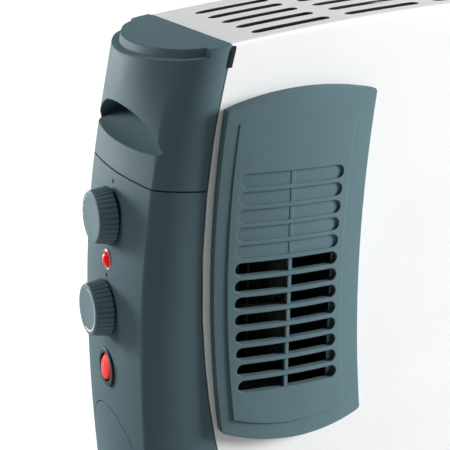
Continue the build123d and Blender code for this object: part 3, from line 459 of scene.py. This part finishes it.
@dataclass(frozen=True)
class BareMetal:
    """Bare metal with crystal spangles or brushed streaks and an uneven sheen."""

    name: str
    colour: Colour
    roughness: float = 0.38
    spangle: float = 0.006
    tint: Colour = (0.45, 0.46, 0.48)

    def material(self) -> bpy.types.Material:
        """Builds the material.

        Returns:
            The material.
        """
        wiring = Wiring(self.name)
        crystals = wiring.cells(self.spangle).outputs["Color"]
        grey = wiring.add("ShaderNodeRGBToBW")
        wiring.join(crystals, grey.inputs["Color"])
        share = wiring.span(grey.outputs["Val"], 0.0, 0.6, 0.2, 0.8)
        wiring.put(
            Base_Color=wiring.blend(share, self.colour, self.tint),
            Metallic=1.0,
            Roughness=wiring.span(
                wiring.noise(self.spangle * 0.6), self.roughness - 0.08, self.roughness + 0.1
            ),
        )
        wiring.emboss(wiring.noise(self.spangle * 0.15), 0.00002)
        return wiring.material


class Finish(Enum):
    """Finishes of the heater, one for each material slot of the record."""

    CASE_WHITE = PowderCoat("case_white", (0.83, 0.84, 0.84))
    HOUSING_GREY = Moulding(
        "housing_grey", (0.106, 0.167, 0.189), roughness=0.5, specular=0.012, edge=0.0008
    )
    KNOB_GREY = Moulding("knob_grey", (0.15, 0.235, 0.262), roughness=0.45, specular=0.03)
    BLACK_PLASTIC = Moulding("black_plastic", (0.008, 0.009, 0.01), roughness=0.5, specular=0.15)
    LAMP_RED = Moulding("lamp_red", (0.82, 0.01, 0.008), roughness=0.22, specular=0.08, glow=0.35)
    ROCKER_RED = Moulding("rocker_red", (0.72, 0.004, 0.004), roughness=0.2, specular=0.12, glow=0.25)
    GALVANISED = BareMetal("galvanised_steel", (0.2, 0.205, 0.21), tint=(0.13, 0.133, 0.137))
    ELEMENT = BareMetal(
        "element_metal", (0.2, 0.18, 0.17), roughness=0.5, spangle=0.003, tint=(0.1, 0.09, 0.085)
    )
    CERAMIC = Moulding("bush_ceramic", (0.74, 0.71, 0.65), roughness=0.5, grain_depth=0.00004)
    TERMINAL = Moulding("terminal_white", (0.78, 0.78, 0.75), roughness=0.45)
    RUBBER = Moulding("pad_rubber", (0.02, 0.02, 0.021), roughness=0.75, specular=0.2, grain_depth=0.00006)
    SCREW = BareMetal("screw_steel", (0.55, 0.55, 0.54), roughness=0.3, spangle=0.002)


@dataclass
class Dresser:
    """Gives each CAD node the finish of its material slot."""

    materials: dict = field(default_factory=dict)

    def finish(self, slot: str) -> bpy.types.Material:
        """Material of a slot, made once.

        Args:
            slot: name of the material slot.

        Returns:
            The material.
        """
        if slot not in self.materials:
            match = next(f.value for f in Finish if f.value.name == slot)
            self.materials[slot] = match.material()
        return self.materials[slot]

    def put(self, item: bpy.types.Object, slot: str, finish: object = None) -> None:
        """Gives a new piece its finish: the one given for it, or else its slot's.

        Args:
            item: the piece.
            slot: name of the record's material slot.
            finish: a finish of its own, where it isn't the slot's.
        """
        if finish is not None and finish.name not in self.materials:
            self.materials[finish.name] = finish.material()
        item.data.materials.append(self.materials[finish.name] if finish is not None else self.finish(slot))

    def dress(self) -> None:
        """Puts the finishes on the CAD nodes."""
        for part in frame["record"]["subparts"]:
            node = frame["nodes"].get(part["node"])
            if node is None:
                continue
            material = self.finish(part["material_slot"])
            for slot in node.material_slots:
                slot.material = material
            if not node.material_slots:
                node.data.materials.append(material)


@dataclass(frozen=True)
class EndForm:
    """Middle line of the left end face, and places on it. Sizes are the part's own, in mm."""

    ridge_half_length: float = 285.7
    ridge_widest_z: float = 168.0
    ridge_radius_above: float = 650.0
    ridge_radius_below: float = 1100.0
    face_bulge: float = 4.2

    def face(self, z: float) -> float:
        """Half length to the middle of the end face: a circle's arc above and below its widest height.

        Args:
            z: height.

        Returns:
            The distance from the middle of the case.
        """
        radius = self.ridge_radius_above if z > self.ridge_widest_z else self.ridge_radius_below
        drop = radius - math.sqrt(radius**2 - (z - self.ridge_widest_z) ** 2)
        return self.ridge_half_length - drop + self.face_bulge

    def place(self, points: np.ndarray, z: float, lift: float = 0.0) -> np.ndarray:
        """Carries points from a drawing of the end face, x to the right, y up and z outwards, to the heater.

        Args:
            points: rows of x, y, z in mm.
            z: height of the drawing's middle.
            lift: how far it stands off the face.

        Returns:
            Rows of x, y, z in metres.
        """
        out = MIDDLE_SHIFT - self.face(z) - lift - points[:, 2]
        return np.stack((out, -points[:, 0], z + points[:, 1]), axis=-1) * MM


@dataclass
class CaseWrap:
    """Folded white sheet: front panel, rounded fold, arched top with slots, and a return behind."""

    half_depth: float = 57.2
    sheet: float = 1.2
    floor_gap: float = 43.0
    crown_height: float = 350.0
    arch_radius: float = 1500.0
    seam_half_length: float = 255.4
    seam_widest_z: float = 206.0
    seam_radius: float = 515.0
    fold: float = 3.5
    back_return: float = 16.0
    groups: int = 8
    group_pitch: float = 56.8
    rows: int = 5
    row_pitch: float = 18.3
    rows_y: float = -4.6
    slot_length: float = 46.5
    slot_width: float = 8.0
    across: int = 10
    round_end: int = 12
    opening_x: tuple = (-238.0, -176.08)
    opening_z: tuple = (132.6, 217.4)
    levels_below: tuple = (75.0, 105.0)
    levels_beside: tuple = (155.0, 180.0)
    levels_above: tuple = (250.0, 280.0, 300.0)
    fold_steps: int = 9
    return_steps: int = 4
    rings: tuple = (0.0, 0.5, 0.86, 1.0)
    strip_share: float = 0.6
    seam_rounds: int = 12
    lip: float = 0.28
    lip_angle: float = 50.0

    def arch(self, x: np.ndarray) -> np.ndarray:
        """Height of the top at x: the circle of the arch."""
        return self.crown_height - self.arch_radius + np.sqrt(self.arch_radius**2 - x**2)

    def seam(self, z: np.ndarray) -> np.ndarray:
        """Half length of the case at height z: the circle of the bowed end."""
        drop = self.seam_radius - np.sqrt(self.seam_radius**2 - (z - self.seam_widest_z) ** 2)
        return self.seam_half_length - drop

    def section(self) -> tuple[np.ndarray, np.ndarray, np.ndarray]:
        """Section from the foot of the front panel over the top to the return.

        Returns:
            For each row its y, and the two numbers a and b of its height z = a + b * arch(x).
        """
        low, high = self.opening_z
        level = np.array((
            self.floor_gap, *self.levels_below, low, *self.levels_beside, high, *self.levels_above,
        ))
        turn = np.linspace(0, np.pi / 2, self.fold_steps)
        fold_y, fold_z = self.fold * (1 - np.cos(turn)), self.fold * (np.sin(turn) - 1)
        first = self.rows_y - self.rows * self.row_pitch / 2
        top_y = first + np.arange(self.rows * self.round_end + 1) * self.row_pitch / self.round_end
        rear = np.linspace(self.fold, self.back_return, self.return_steps)[1:]
        y = np.concatenate((
            np.full(len(level) + 1, -self.half_depth), -self.half_depth + fold_y,
            top_y, self.half_depth - fold_y[::-1], np.full(len(rear), self.half_depth),
        ))
        b = np.concatenate((np.zeros(len(level)), [0.5], np.ones(len(y) - len(level) - 1)))
        halfway = (level[-1] - self.fold) / 2
        a = np.concatenate((
            level, [halfway], fold_z, np.zeros(len(top_y)), fold_z[::-1], -rear,
        ))
        return y, a, b

    def ends(self, a: np.ndarray, b: np.ndarray) -> np.ndarray:
        """Half length of each row: the x at which seam(a + b * arch(x)) = x, found by repeating it.

        Args:
            a: constant part of the height.
            b: share of the arch in it.

        Returns:
            The half lengths.
        """
        x = np.full(len(a), self.seam_half_length)
        for _ in range(self.seam_rounds):
            x = self.seam(a + b * self.arch(x))
        return x

    def slots(self) -> tuple[np.ndarray, np.ndarray]:
        """Rings from the border of each slot's cell to the slot: p = border + f * (stadium - border).

        Returns:
            Points and faces of all the cells.
        """
        n, m = self.across, self.round_end
        u, v = np.arange(n) / n, np.arange(m) / m
        wide, deep = self.group_pitch / 2, self.row_pitch / 2
        straight, radius = (self.slot_length - self.slot_width) / 2, self.slot_width / 2
        border_x = np.concatenate((
            wide * (2 * u - 1), np.full(m, wide), wide * (1 - 2 * u), np.full(m, -wide),
        ))
        border_y = np.concatenate((
            np.full(n, -deep), deep * (2 * v - 1), np.full(n, deep), deep * (1 - 2 * v),
        ))
        turn = np.pi * (v - 0.5)
        slot_x = np.concatenate((
            straight * (2 * u - 1), straight + radius * np.cos(turn),
            straight * (1 - 2 * u), -straight - radius * np.cos(turn),
        ))
        slot_y = np.concatenate((
            np.full(n, -radius), radius * np.sin(turn), np.full(n, radius), -radius * np.sin(turn),
        ))
        share = np.array(self.rings)[:, None]
        ring_x, ring_y = border_x + share * (slot_x - border_x), border_y + share * (slot_y - border_y)
        centre_x = self.group_pitch * (np.arange(self.groups) - (self.groups - 1) / 2)
        centre_y = self.rows_y + self.row_pitch * (np.arange(self.rows) - (self.rows - 1) / 2)
        shape = (self.groups, self.rows, *ring_x.shape)
        x = np.broadcast_to(centre_x[:, None, None, None] + ring_x, shape)
        y = np.broadcast_to(centre_y[None, :, None, None] + ring_y, x.shape)
        points = np.stack((x, y, self.arch(x)), axis=-1).reshape(-1, 3)
        one = grid_faces(len(self.rings), ring_x.shape[1], True)
        starts = np.arange(self.groups * self.rows) * ring_x.size
        return points, (one[None] + starts[:, None, None]).reshape(-1, 4)

    def sheet_grid(self) -> tuple[np.ndarray, np.ndarray]:
        """Grid of the rest of the sheet, whose columns bow with the seam towards each end.

        Returns:
            Points and faces.
        """
        y, a, b = self.section()
        inner = self.groups * self.group_pitch / 2
        spread = self.ends(a, b) - inner
        share = (np.minimum(-self.opening_x[0], inner + self.strip_share * spread) - inner) / spread
        steps = np.stack((np.ones(len(y)), (1 + share) / 2, share, share / 2), axis=-1)
        outer = inner + spread[:, None] * steps
        middle = np.linspace(-inner, inner, self.groups * self.across + 1)
        middle = np.broadcast_to(middle, (len(y), len(middle)))
        x = np.concatenate((-outer, middle, outer[:, ::-1]), axis=1)
        z = a[:, None] + b[:, None] * self.arch(x)
        points = np.stack((x, np.broadcast_to(y[:, None], x.shape), z), axis=-1)
        corners = (points[:-1, :-1] + points[1:, 1:]) / 2
        cx, cy, cz = corners[..., 0], corners[..., 1], corners[..., 2]
        reach = self.rows * self.row_pitch / 2
        slotted = (np.abs(cx) < inner) & (cy > self.rows_y - reach) & (cy < self.rows_y + reach)
        slotted &= cz > self.arch(cx) - 1
        opening = (cx > self.opening_x[0]) & (cx < self.opening_x[1]) & (cy < -self.half_depth + 1)
        opening &= (cz > self.opening_z[0]) & (cz < self.opening_z[1])
        keep = ~(slotted | opening)
        return points.reshape(-1, 3), grid_faces(*x.shape)[keep.ravel()]

    def build(self, dresser: "Dresser") -> None:
        """Joins the grid and the slots, gives the sheet its thickness and breaks its edges.

        Args:
            dresser: keeper of the finishes.
        """
        points, faces = self.sheet_grid()
        more, cells = self.slots()
        faces = np.concatenate((faces, cells + len(points)))
        points = (np.concatenate((points, more)) + (MIDDLE_SHIFT, 0.0, 0.0)) * MM
        case = add_mesh("case_sheet", points, faces)
        weld(case)
        wall = case.modifiers.new("wall", "SOLIDIFY")
        wall.thickness = self.sheet * MM
        wall.offset = -1.0
        edge = case.modifiers.new("edge", "BEVEL")
        edge.width = self.lip * MM
        edge.segments = 2
        edge.limit_method = "ANGLE"
        edge.angle_limit = math.radians(self.lip_angle)
        edge.harden_normals = True
        dresser.put(case, "case_white")
        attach(case, "heater")
        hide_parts("case_wrap")
        log.info("case sheet with %d slots", self.groups * self.rows)


@dataclass
class ShadeScreen:
    """Thin pleated black screen laid inside the rear louvres: painted shade, a dark sheet that stands for
    the dark inside of the case, so the room behind can't be seen.
    """

    name: str
    low: tuple
    high: tuple
    near: float = 55.3
    pleat: float = 2.2
    depth: float = 0.4
    thickness: float = 0.15
    rows: int = 5

    def build(self, dresser: "Dresser") -> None:
        """Draws the pleats: y = near + depth * |sin(pi * x / (2 * pleat))|, sampled at its folds.

        Args:
            dresser: keeper of the finishes.
        """
        count = int((self.high[0] - self.low[0]) / self.pleat)
        folds = self.low[0] + self.pleat * np.arange(count + 1)
        x, z = np.meshgrid(folds, np.linspace(self.low[1], self.high[1], self.rows))
        y = self.near + self.depth * np.abs(np.sin(np.pi * (x - self.low[0]) / (2 * self.pleat)))
        points = np.stack((x, y, z), axis=-1).reshape(-1, 3) * MM
        screen = add_mesh(self.name, points, grid_faces(*x.shape))
        wall = screen.modifiers.new("wall", "SOLIDIFY")
        wall.thickness = self.thickness * MM
        # Black: painted shade for the dark inside of the case.
        dresser.put(screen, "black_plastic")
        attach(screen, "heater")
        log.info("%s with %d pleats", self.name, count // 2)


@dataclass
class Dial:
    """Fluted knob with painted marks on its face."""

    name: str
    node: str
    body: str
    z: float
    marks: tuple
    form: EndForm = EndForm()
    face_radius: float = 15.0
    base_radius: float = 16.7
    depth: float = 10.8
    lift: float = 0.5
    edge: float = 1.1
    dish: float = 0.25
    flutes: int = 34
    flute_depth: float = 0.8
    steps: int = 408
    paint: float = 0.12
    mark_steps: int = 12
    mark_taper: float = 0.45

    def knob(self) -> bpy.types.Object:
        """Turns the knob, with r = profile - depth * groove(a), where a groove is a raised cosine.

        Returns:
            The knob.
        """
        face = np.linspace(0, self.face_radius - self.edge, 8)
        face_height = self.depth - self.dish * (1 - (face / face[-1]) ** 2)
        turn_r, turn_h = rounded(self.face_radius, self.depth, self.edge)
        share = np.linspace(0, 1, 12)[1:]
        side_r = self.face_radius + share * (self.base_radius - self.face_radius)
        side_h = (self.depth - self.edge) * (1 - share) + 0.2 * share
        foot = [self.base_radius - 0.5, self.base_radius - 2.5, 0.0]
        radii = np.concatenate((face[:-1], turn_r, side_r, foot))
        heights = np.concatenate((face_height[:-1], turn_h, side_h, [0.0, 0.0, 0.0]))
        side_grip = 0.25 + 0.75 * share**0.6
        grip = np.concatenate((np.zeros(7), np.linspace(0, 0.25, 6), side_grip, [0.9, 0.0, 0.0]))
        angle = np.linspace(0, 2 * np.pi, self.steps, endpoint=False)
        groove = np.clip(np.cos(self.flutes * angle), 0, 1) ** 0.8
        fluted = radii[:, None] - self.flute_depth * grip[:, None] * groove
        points, faces = lathe(fluted, heights, self.steps)
        return add_mesh(self.name, self.form.place(points, self.z, self.lift), faces)

    def mark(
        self, name: str, start: float, end: float, wide_start: float, wide_end: float, radius: float
    ) -> bpy.types.Object:
        """Lays a thin crowned stripe of paint along an arc, with a width that grows along it.

        A point is (r + w v) (cos a, sin a) with v from -1 to 1, and its height is a low arch over v.

        Args:
            name: name of the object.
            start: angle of its start in degrees, from the right, anticlockwise.
            end: angle of its end.
            wide_start: width at the start.
            wide_end: width at the end.
            radius: radius of its middle line.

        Returns:
            The stripe.
        """
        rows = max(4, int(abs(end - start) / 2))
        a = np.radians(np.linspace(start, end, rows))[:, None]
        turn = np.linspace(0, 2 * np.pi, self.mark_steps, endpoint=False)[None, :]
        taper = np.ones(rows)
        taper[[0, -1]] = self.mark_taper
        half = np.linspace(wide_start, wide_end, rows)[:, None] / 2 * taper[:, None]
        r = radius + half * np.cos(turn)
        dish = self.dish * (1 - np.clip(r / (self.face_radius - self.edge), 0, 1) ** 2)
        h = self.depth - dish + self.paint * np.sin(turn)
        points = np.stack((r * np.cos(a), r * np.sin(a), h + 0 * a), axis=-1).reshape(-1, 3)
        faces = grid_faces(rows, self.mark_steps, True)
        j = np.arange(1, self.mark_steps - 1)
        caps = [
            np.stack((np.full(len(j), k), k + j, k + j + 1, k + j + 1), axis=-1)
            for k in (0, (rows - 1) * self.mark_steps)
        ]
        turned = 1 if end > start else 0
        caps[turned] = caps[turned][:, [0, 2, 1, 1]]
        faces = faces if end < start else faces[:, ::-1]
        placed = self.form.place(points, self.z, self.lift)
        return add_mesh(name, placed, np.concatenate((faces, *caps)))

    def build(self, dresser: Dresser) -> None:
        """Builds, dresses and places the knob and its marks.

        Args:
            dresser: keeper of the finishes.
        """
        knob = self.knob()
        dresser.put(knob, "knob_grey")
        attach(knob, self.body)
        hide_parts(self.node)
        for number, mark in enumerate(self.marks):
            stripe = self.mark(f"{self.name}_mark_{number + 1}", *mark)
            dresser.put(stripe, "case_white", Paint("dial_paint", (0.86, 0.88, 0.88)))
            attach(stripe, self.body)
        log.info("%s with %d marks", self.name, len(self.marks))


@dataclass
class PilotLamp:
    """Domed red lens with a paler rim that lies in its seat."""

    z: float = 202.0
    radius: float = 5.5
    rise: float = 2.6
    rim: float = 0.75
    seat: float = 0.3
    stem_radius: float = 4.5
    stem_length: float = 4.0
    form: EndForm = EndForm()

    def build(self, dresser: Dresser) -> None:
        """Turns the lens, h = rise * (1 - (r / R) ** 2.4), with a flat rim and a stem.

        Args:
            dresser: keeper of the finishes.
        """
        dome = np.linspace(0, self.radius - self.rim, 12)
        dome_h = 0.25 + self.rise * (1 - (dome / dome[-1]) ** 2.4)
        rim_r, rim_h = rounded(self.radius, 0.35, 0.3, 4)
        radii = np.concatenate((dome, rim_r, [self.radius, self.stem_radius, self.stem_radius, 0.0]))
        heights = np.concatenate((dome_h, rim_h, [0.0, 0.0, -self.stem_length, -self.stem_length]))
        points, faces = lathe(radii, heights, 64)
        lens = add_mesh("pilot_lens", self.form.place(points, self.z, -self.seat), faces)
        dresser.put(lens, "lamp_red")
        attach(lens, "heater")
        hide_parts("lamp_lens")
        turn = np.linspace(0, 2 * np.pi, 17)
        ring_r, ring_h = self.radius + 0.1 + 0.42 * np.cos(-turn), 0.3 + 0.3 * np.sin(-turn)
        points, faces = lathe(ring_r[::-1], ring_h[::-1], 64)
        ring = add_mesh("pilot_rim", self.form.place(points, self.z, -self.seat), faces)
        dresser.put(ring, "lamp_red", Moulding("lamp_rim", (0.62, 0.36, 0.34), roughness=0.3))
        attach(ring, "heater")
        log.info("pilot lens and its rim")


@dataclass
class RockerButton:
    """Crowned red rocker, drawn level and turned about its pins to its rest position."""

    z: float = 136.0
    radius: float = 7.7
    rise: float = 1.6
    crown: float = 0.7
    depth: float = 6.0
    pin_drop: float = 2.5
    tilt: float = 9.0
    seat: float = 0.6
    edge: float = 0.9
    form: EndForm = EndForm()

    def build(self, dresser: Dresser) -> None:
        """Builds the button: h = rise + crown * (1 - (r / R)^2), less a round edge.

        Args:
            dresser: keeper of the finishes.
        """
        steps = 96
        flat = np.linspace(0, self.radius - self.edge, 12)
        turn_r, turn_h = rounded(self.radius, 0.0, self.edge)
        radii = np.concatenate((flat[:-1], turn_r, [self.radius, self.radius - 0.3, 0.0]))
        drops = np.concatenate((np.zeros(11), turn_h, [-self.depth, -self.depth - 0.3, -self.depth - 0.3]))
        points, faces = lathe(radii, drops, steps)
        away = np.clip(np.hypot(points[:, 0], points[:, 1]) / self.radius, 0, 1)
        top = points[:, 2] > -self.edge - 0.001
        points[:, 2] += np.where(top, self.rise + self.crown * (1 - away**2), self.rise * 0.5)
        angle = math.radians(self.tilt)
        y, h = points[:, 1], points[:, 2] + self.pin_drop
        points[:, 1], points[:, 2] = (
            y * math.cos(angle) + h * math.sin(angle),
            h * math.cos(angle) - y * math.sin(angle) - self.pin_drop,
        )
        button = add_mesh("rocker_cap", self.form.place(points, self.z, -self.seat), faces)
        dresser.put(button, "rocker_red")
        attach(button, "rocker")
        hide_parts("rocker_button")
        log.info("rocker cap")


@dataclass
class Pointer:
    """Black dot above a knob that its marks are read against."""

    name: str
    z: float
    radius: float = 1.25
    form: EndForm = EndForm()

    def build(self, dresser: Dresser) -> None:
        """Turns the dot as a low dome, h = 0.35 * (1 - (r / R) ** 2), over a short stem.

        Args:
            dresser: keeper of the finishes.
        """
        r = np.linspace(0, self.radius, 7)
        radii = np.concatenate((r, [self.radius, 0.0]))
        heights = np.concatenate((0.35 * (1 - (r / self.radius) ** 2), [-0.7, -0.7]))
        points, faces = lathe(radii, heights, 32)
        dot = add_mesh(self.name, self.form.place(points, self.z), faces)
        matte = Moulding("pointer_black", (0.006, 0.0065, 0.007), roughness=0.8, specular=0.05)
        dresser.put(dot, "black_plastic", matte)
        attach(dot, "heater")


@dataclass
class Studio:
    """Camera, lamps, world and the pale floor."""

    eye: Place = (-0.51596, -0.6418, 0.4380)
    forward: Place = (0.41059, 0.86081, -0.30071)
    right: Place = (0.90510, -0.42473, 0.01997)
    up: Place = (0.11053, 0.28037, 0.95351)
    lens: float = 101.6
    sensor: float = 36.0
    sky_tone: Colour = (0.86, 0.93, 1.0)
    sky_strength: float = 0.03
    glow_near: float = 0.72
    glow_far: float = 1.0
    glow_high: float = 0.4
    near: float = 0.8
    far: float = 2.6
    floor_radius: float = 9.0
    bend_radius: float = 1.0
    backdrop_height: float = 2.2

    def camera(self) -> None:
        """Sets up the camera from its three axes."""
        data = bpy.data.cameras.new("camera")
        data.lens = self.lens
        data.sensor_width = self.sensor
        data.sensor_fit = "HORIZONTAL"
        data.clip_start = 0.01
        item = bpy.data.objects.new("camera", data)
        turn = Matrix((self.right, self.up, tuple(-v for v in self.forward))).transposed()
        item.matrix_world = Matrix.Translation(self.eye) @ turn.to_4x4()
        bpy.context.collection.objects.link(item)
        bpy.context.scene.camera = item

    def lamp(
        self, name: str, place: Place, aim: Place, size: tuple[float, float], power: float
    ) -> None:
        """Adds a soft box of white light.

        Args:
            name: name of the lamp.
            place: its place.
            aim: the point it faces.
            size: width and height.
            power: watts.
        """
        data = bpy.data.lights.new(name, "AREA")
        data.shape = "RECTANGLE"
        data.size, data.size_y = size[0], size[1]
        data.energy = power
        item = bpy.data.objects.new(name, data)
        item.location = place
        item.rotation_euler = (Vector(aim) - Vector(place)).to_track_quat("-Z", "Y").to_euler()
        bpy.context.collection.objects.link(item)

    def lights(self) -> None:
        """Adds the key from the right, the edge light from behind and three weak fills."""
        middle = (-0.15, 0.0, 0.18)
        end = (-0.28, 0.0, 0.24)
        self.lamp("key", (2.5, -1.32, 1.05), middle, (1.2, 1.2), 182.0)
        self.lamp("front", (-0.2, -2.4, 0.7), middle, (1.2, 0.8), 3.5)
        self.lamp("side", (-1.6, 0.5, 1.3), end, (0.7, 0.7), 10.0)
        self.lamp("rim", (-0.85, 1.35, 0.24), end, (0.4, 0.35), 29.0)
        self.lamp("top", (0.3, 0.0, 1.9), middle, (1.0, 0.8), 14.0)

    def world(self) -> None:
        """Sets a plain dim sky above the backdrop."""
        world = bpy.data.worlds.new("studio")
        bpy.context.scene.world = world
        world.use_nodes = True
        sky = world.node_tree.nodes["Background"]
        sky.inputs["Color"].default_value = (*self.sky_tone, 1.0)
        sky.inputs["Strength"].default_value = self.sky_strength

    def stage_material(self) -> bpy.types.Material:
        """Pale floor paint that shows white to the camera and in gloss, save in shadow.

        Returns:
            The material.
        """
        wiring = Wiring("stage_pale")
        wiring.put(Base_Color=(0.35, 0.35, 0.35, 1.0), Roughness=0.9, Specular_IOR_Level=0.1)
        path = wiring.add("ShaderNodeLightPath")
        seen = path.outputs["Is Camera Ray"]
        for key in ("Is Glossy Ray", "Is Transmission Ray"):
            seen = wiring.sum(seen, path.outputs[key], "MAXIMUM")
        away = wiring.add("ShaderNodeVectorMath", operation="LENGTH")
        wiring.join(wiring.place, away.inputs[0])
        level = wiring.span(away.outputs["Value"], self.glow_near, self.glow_far, self.near, self.far)
        height = wiring.add("ShaderNodeSeparateXYZ")
        wiring.join(wiring.place, height.inputs[0])
        fade = wiring.span(height.outputs["Z"], 1.0, self.glow_high, 0.2, self.backdrop_height)
        level = wiring.sum(level, fade, "MULTIPLY")
        glow = wiring.add("ShaderNodeEmission")
        wiring.join(wiring.sum(seen, level, "MULTIPLY"), glow.inputs["Strength"])
        both = wiring.add("ShaderNodeAddShader")
        wiring.join(wiring.shader.outputs["BSDF"], both.inputs[0])
        wiring.join(glow.outputs[0], both.inputs[1])
        wiring.join(both.outputs[0], wiring.output.inputs["Surface"])
        return wiring.material

    def floor(self) -> None:
        """Adds the pale floor, which turns up into a low round backdrop.

        A point of the profile at distance s along it is on the floor to the bend's start,
        then on a quarter circle, then on the upright, and the profile turns about Z.
        """
        bend = np.linspace(0.0, np.pi / 2, 13)
        reach = self.floor_radius - self.bend_radius
        flat = [0.0, 0.3, 1.0, 2.5, reach * 0.6]
        bend_r = reach + self.bend_radius * np.sin(bend)
        bend_h = self.bend_radius * (1 - np.cos(bend))
        radii = np.concatenate((flat, bend_r, [self.floor_radius]))
        heights = np.concatenate((np.zeros(len(flat)), bend_h, [self.backdrop_height]))
        item = add_mesh("floor", *lathe(radii, heights, 96))
        item.data.materials.append(self.stage_material())

    def build(self) -> None:
        """Builds the whole studio."""
        self.camera()
        self.lights()
        self.world()
        self.floor()
        settings = bpy.context.scene.view_settings
        settings.view_transform = "Standard"


def main() -> None:
    """Builds the heater's pieces in order."""
    Studio().build()
    dresser = Dresser()
    dresser.dress()
    log.info("dressed %d nodes", len(frame["nodes"]))
    CaseWrap().build(dresser)
    # Black screens behind the rear louvres: painted shade for the dark inside of the case.
    ShadeScreen("low_filter", (-178.0, 74.0), (178.0, 148.0)).build(dresser)
    ShadeScreen("high_filter", (-192.0, 224.0), (192.0, 262.0)).build(dresser)
    positions = tuple((angle - 3, angle + 3, 0.9, 0.9, 12.4) for angle in (122, 142, 164, 186))
    Dial("selector_dial_knob", "selector_knob", "selector_dial", 228.0, positions).build(dresser)
    scale = ((92, -108, 0.5, 1.2, 12.3), (115, 110, 0.7, 0.7, 12.6), (182, 178, 0.6, 0.6, 12.6))
    Dial("thermostat_dial_knob", "thermostat_knob", "thermostat_dial", 173.3, scale).build(dresser)
    PilotLamp().build(dresser)
    RockerButton().build(dresser)
    Pointer("selector_pointer", 247.4).build(dresser)
    Pointer("thermostat_pointer", 192.7).build(dresser)


if __name__ == "__main__":
    main()
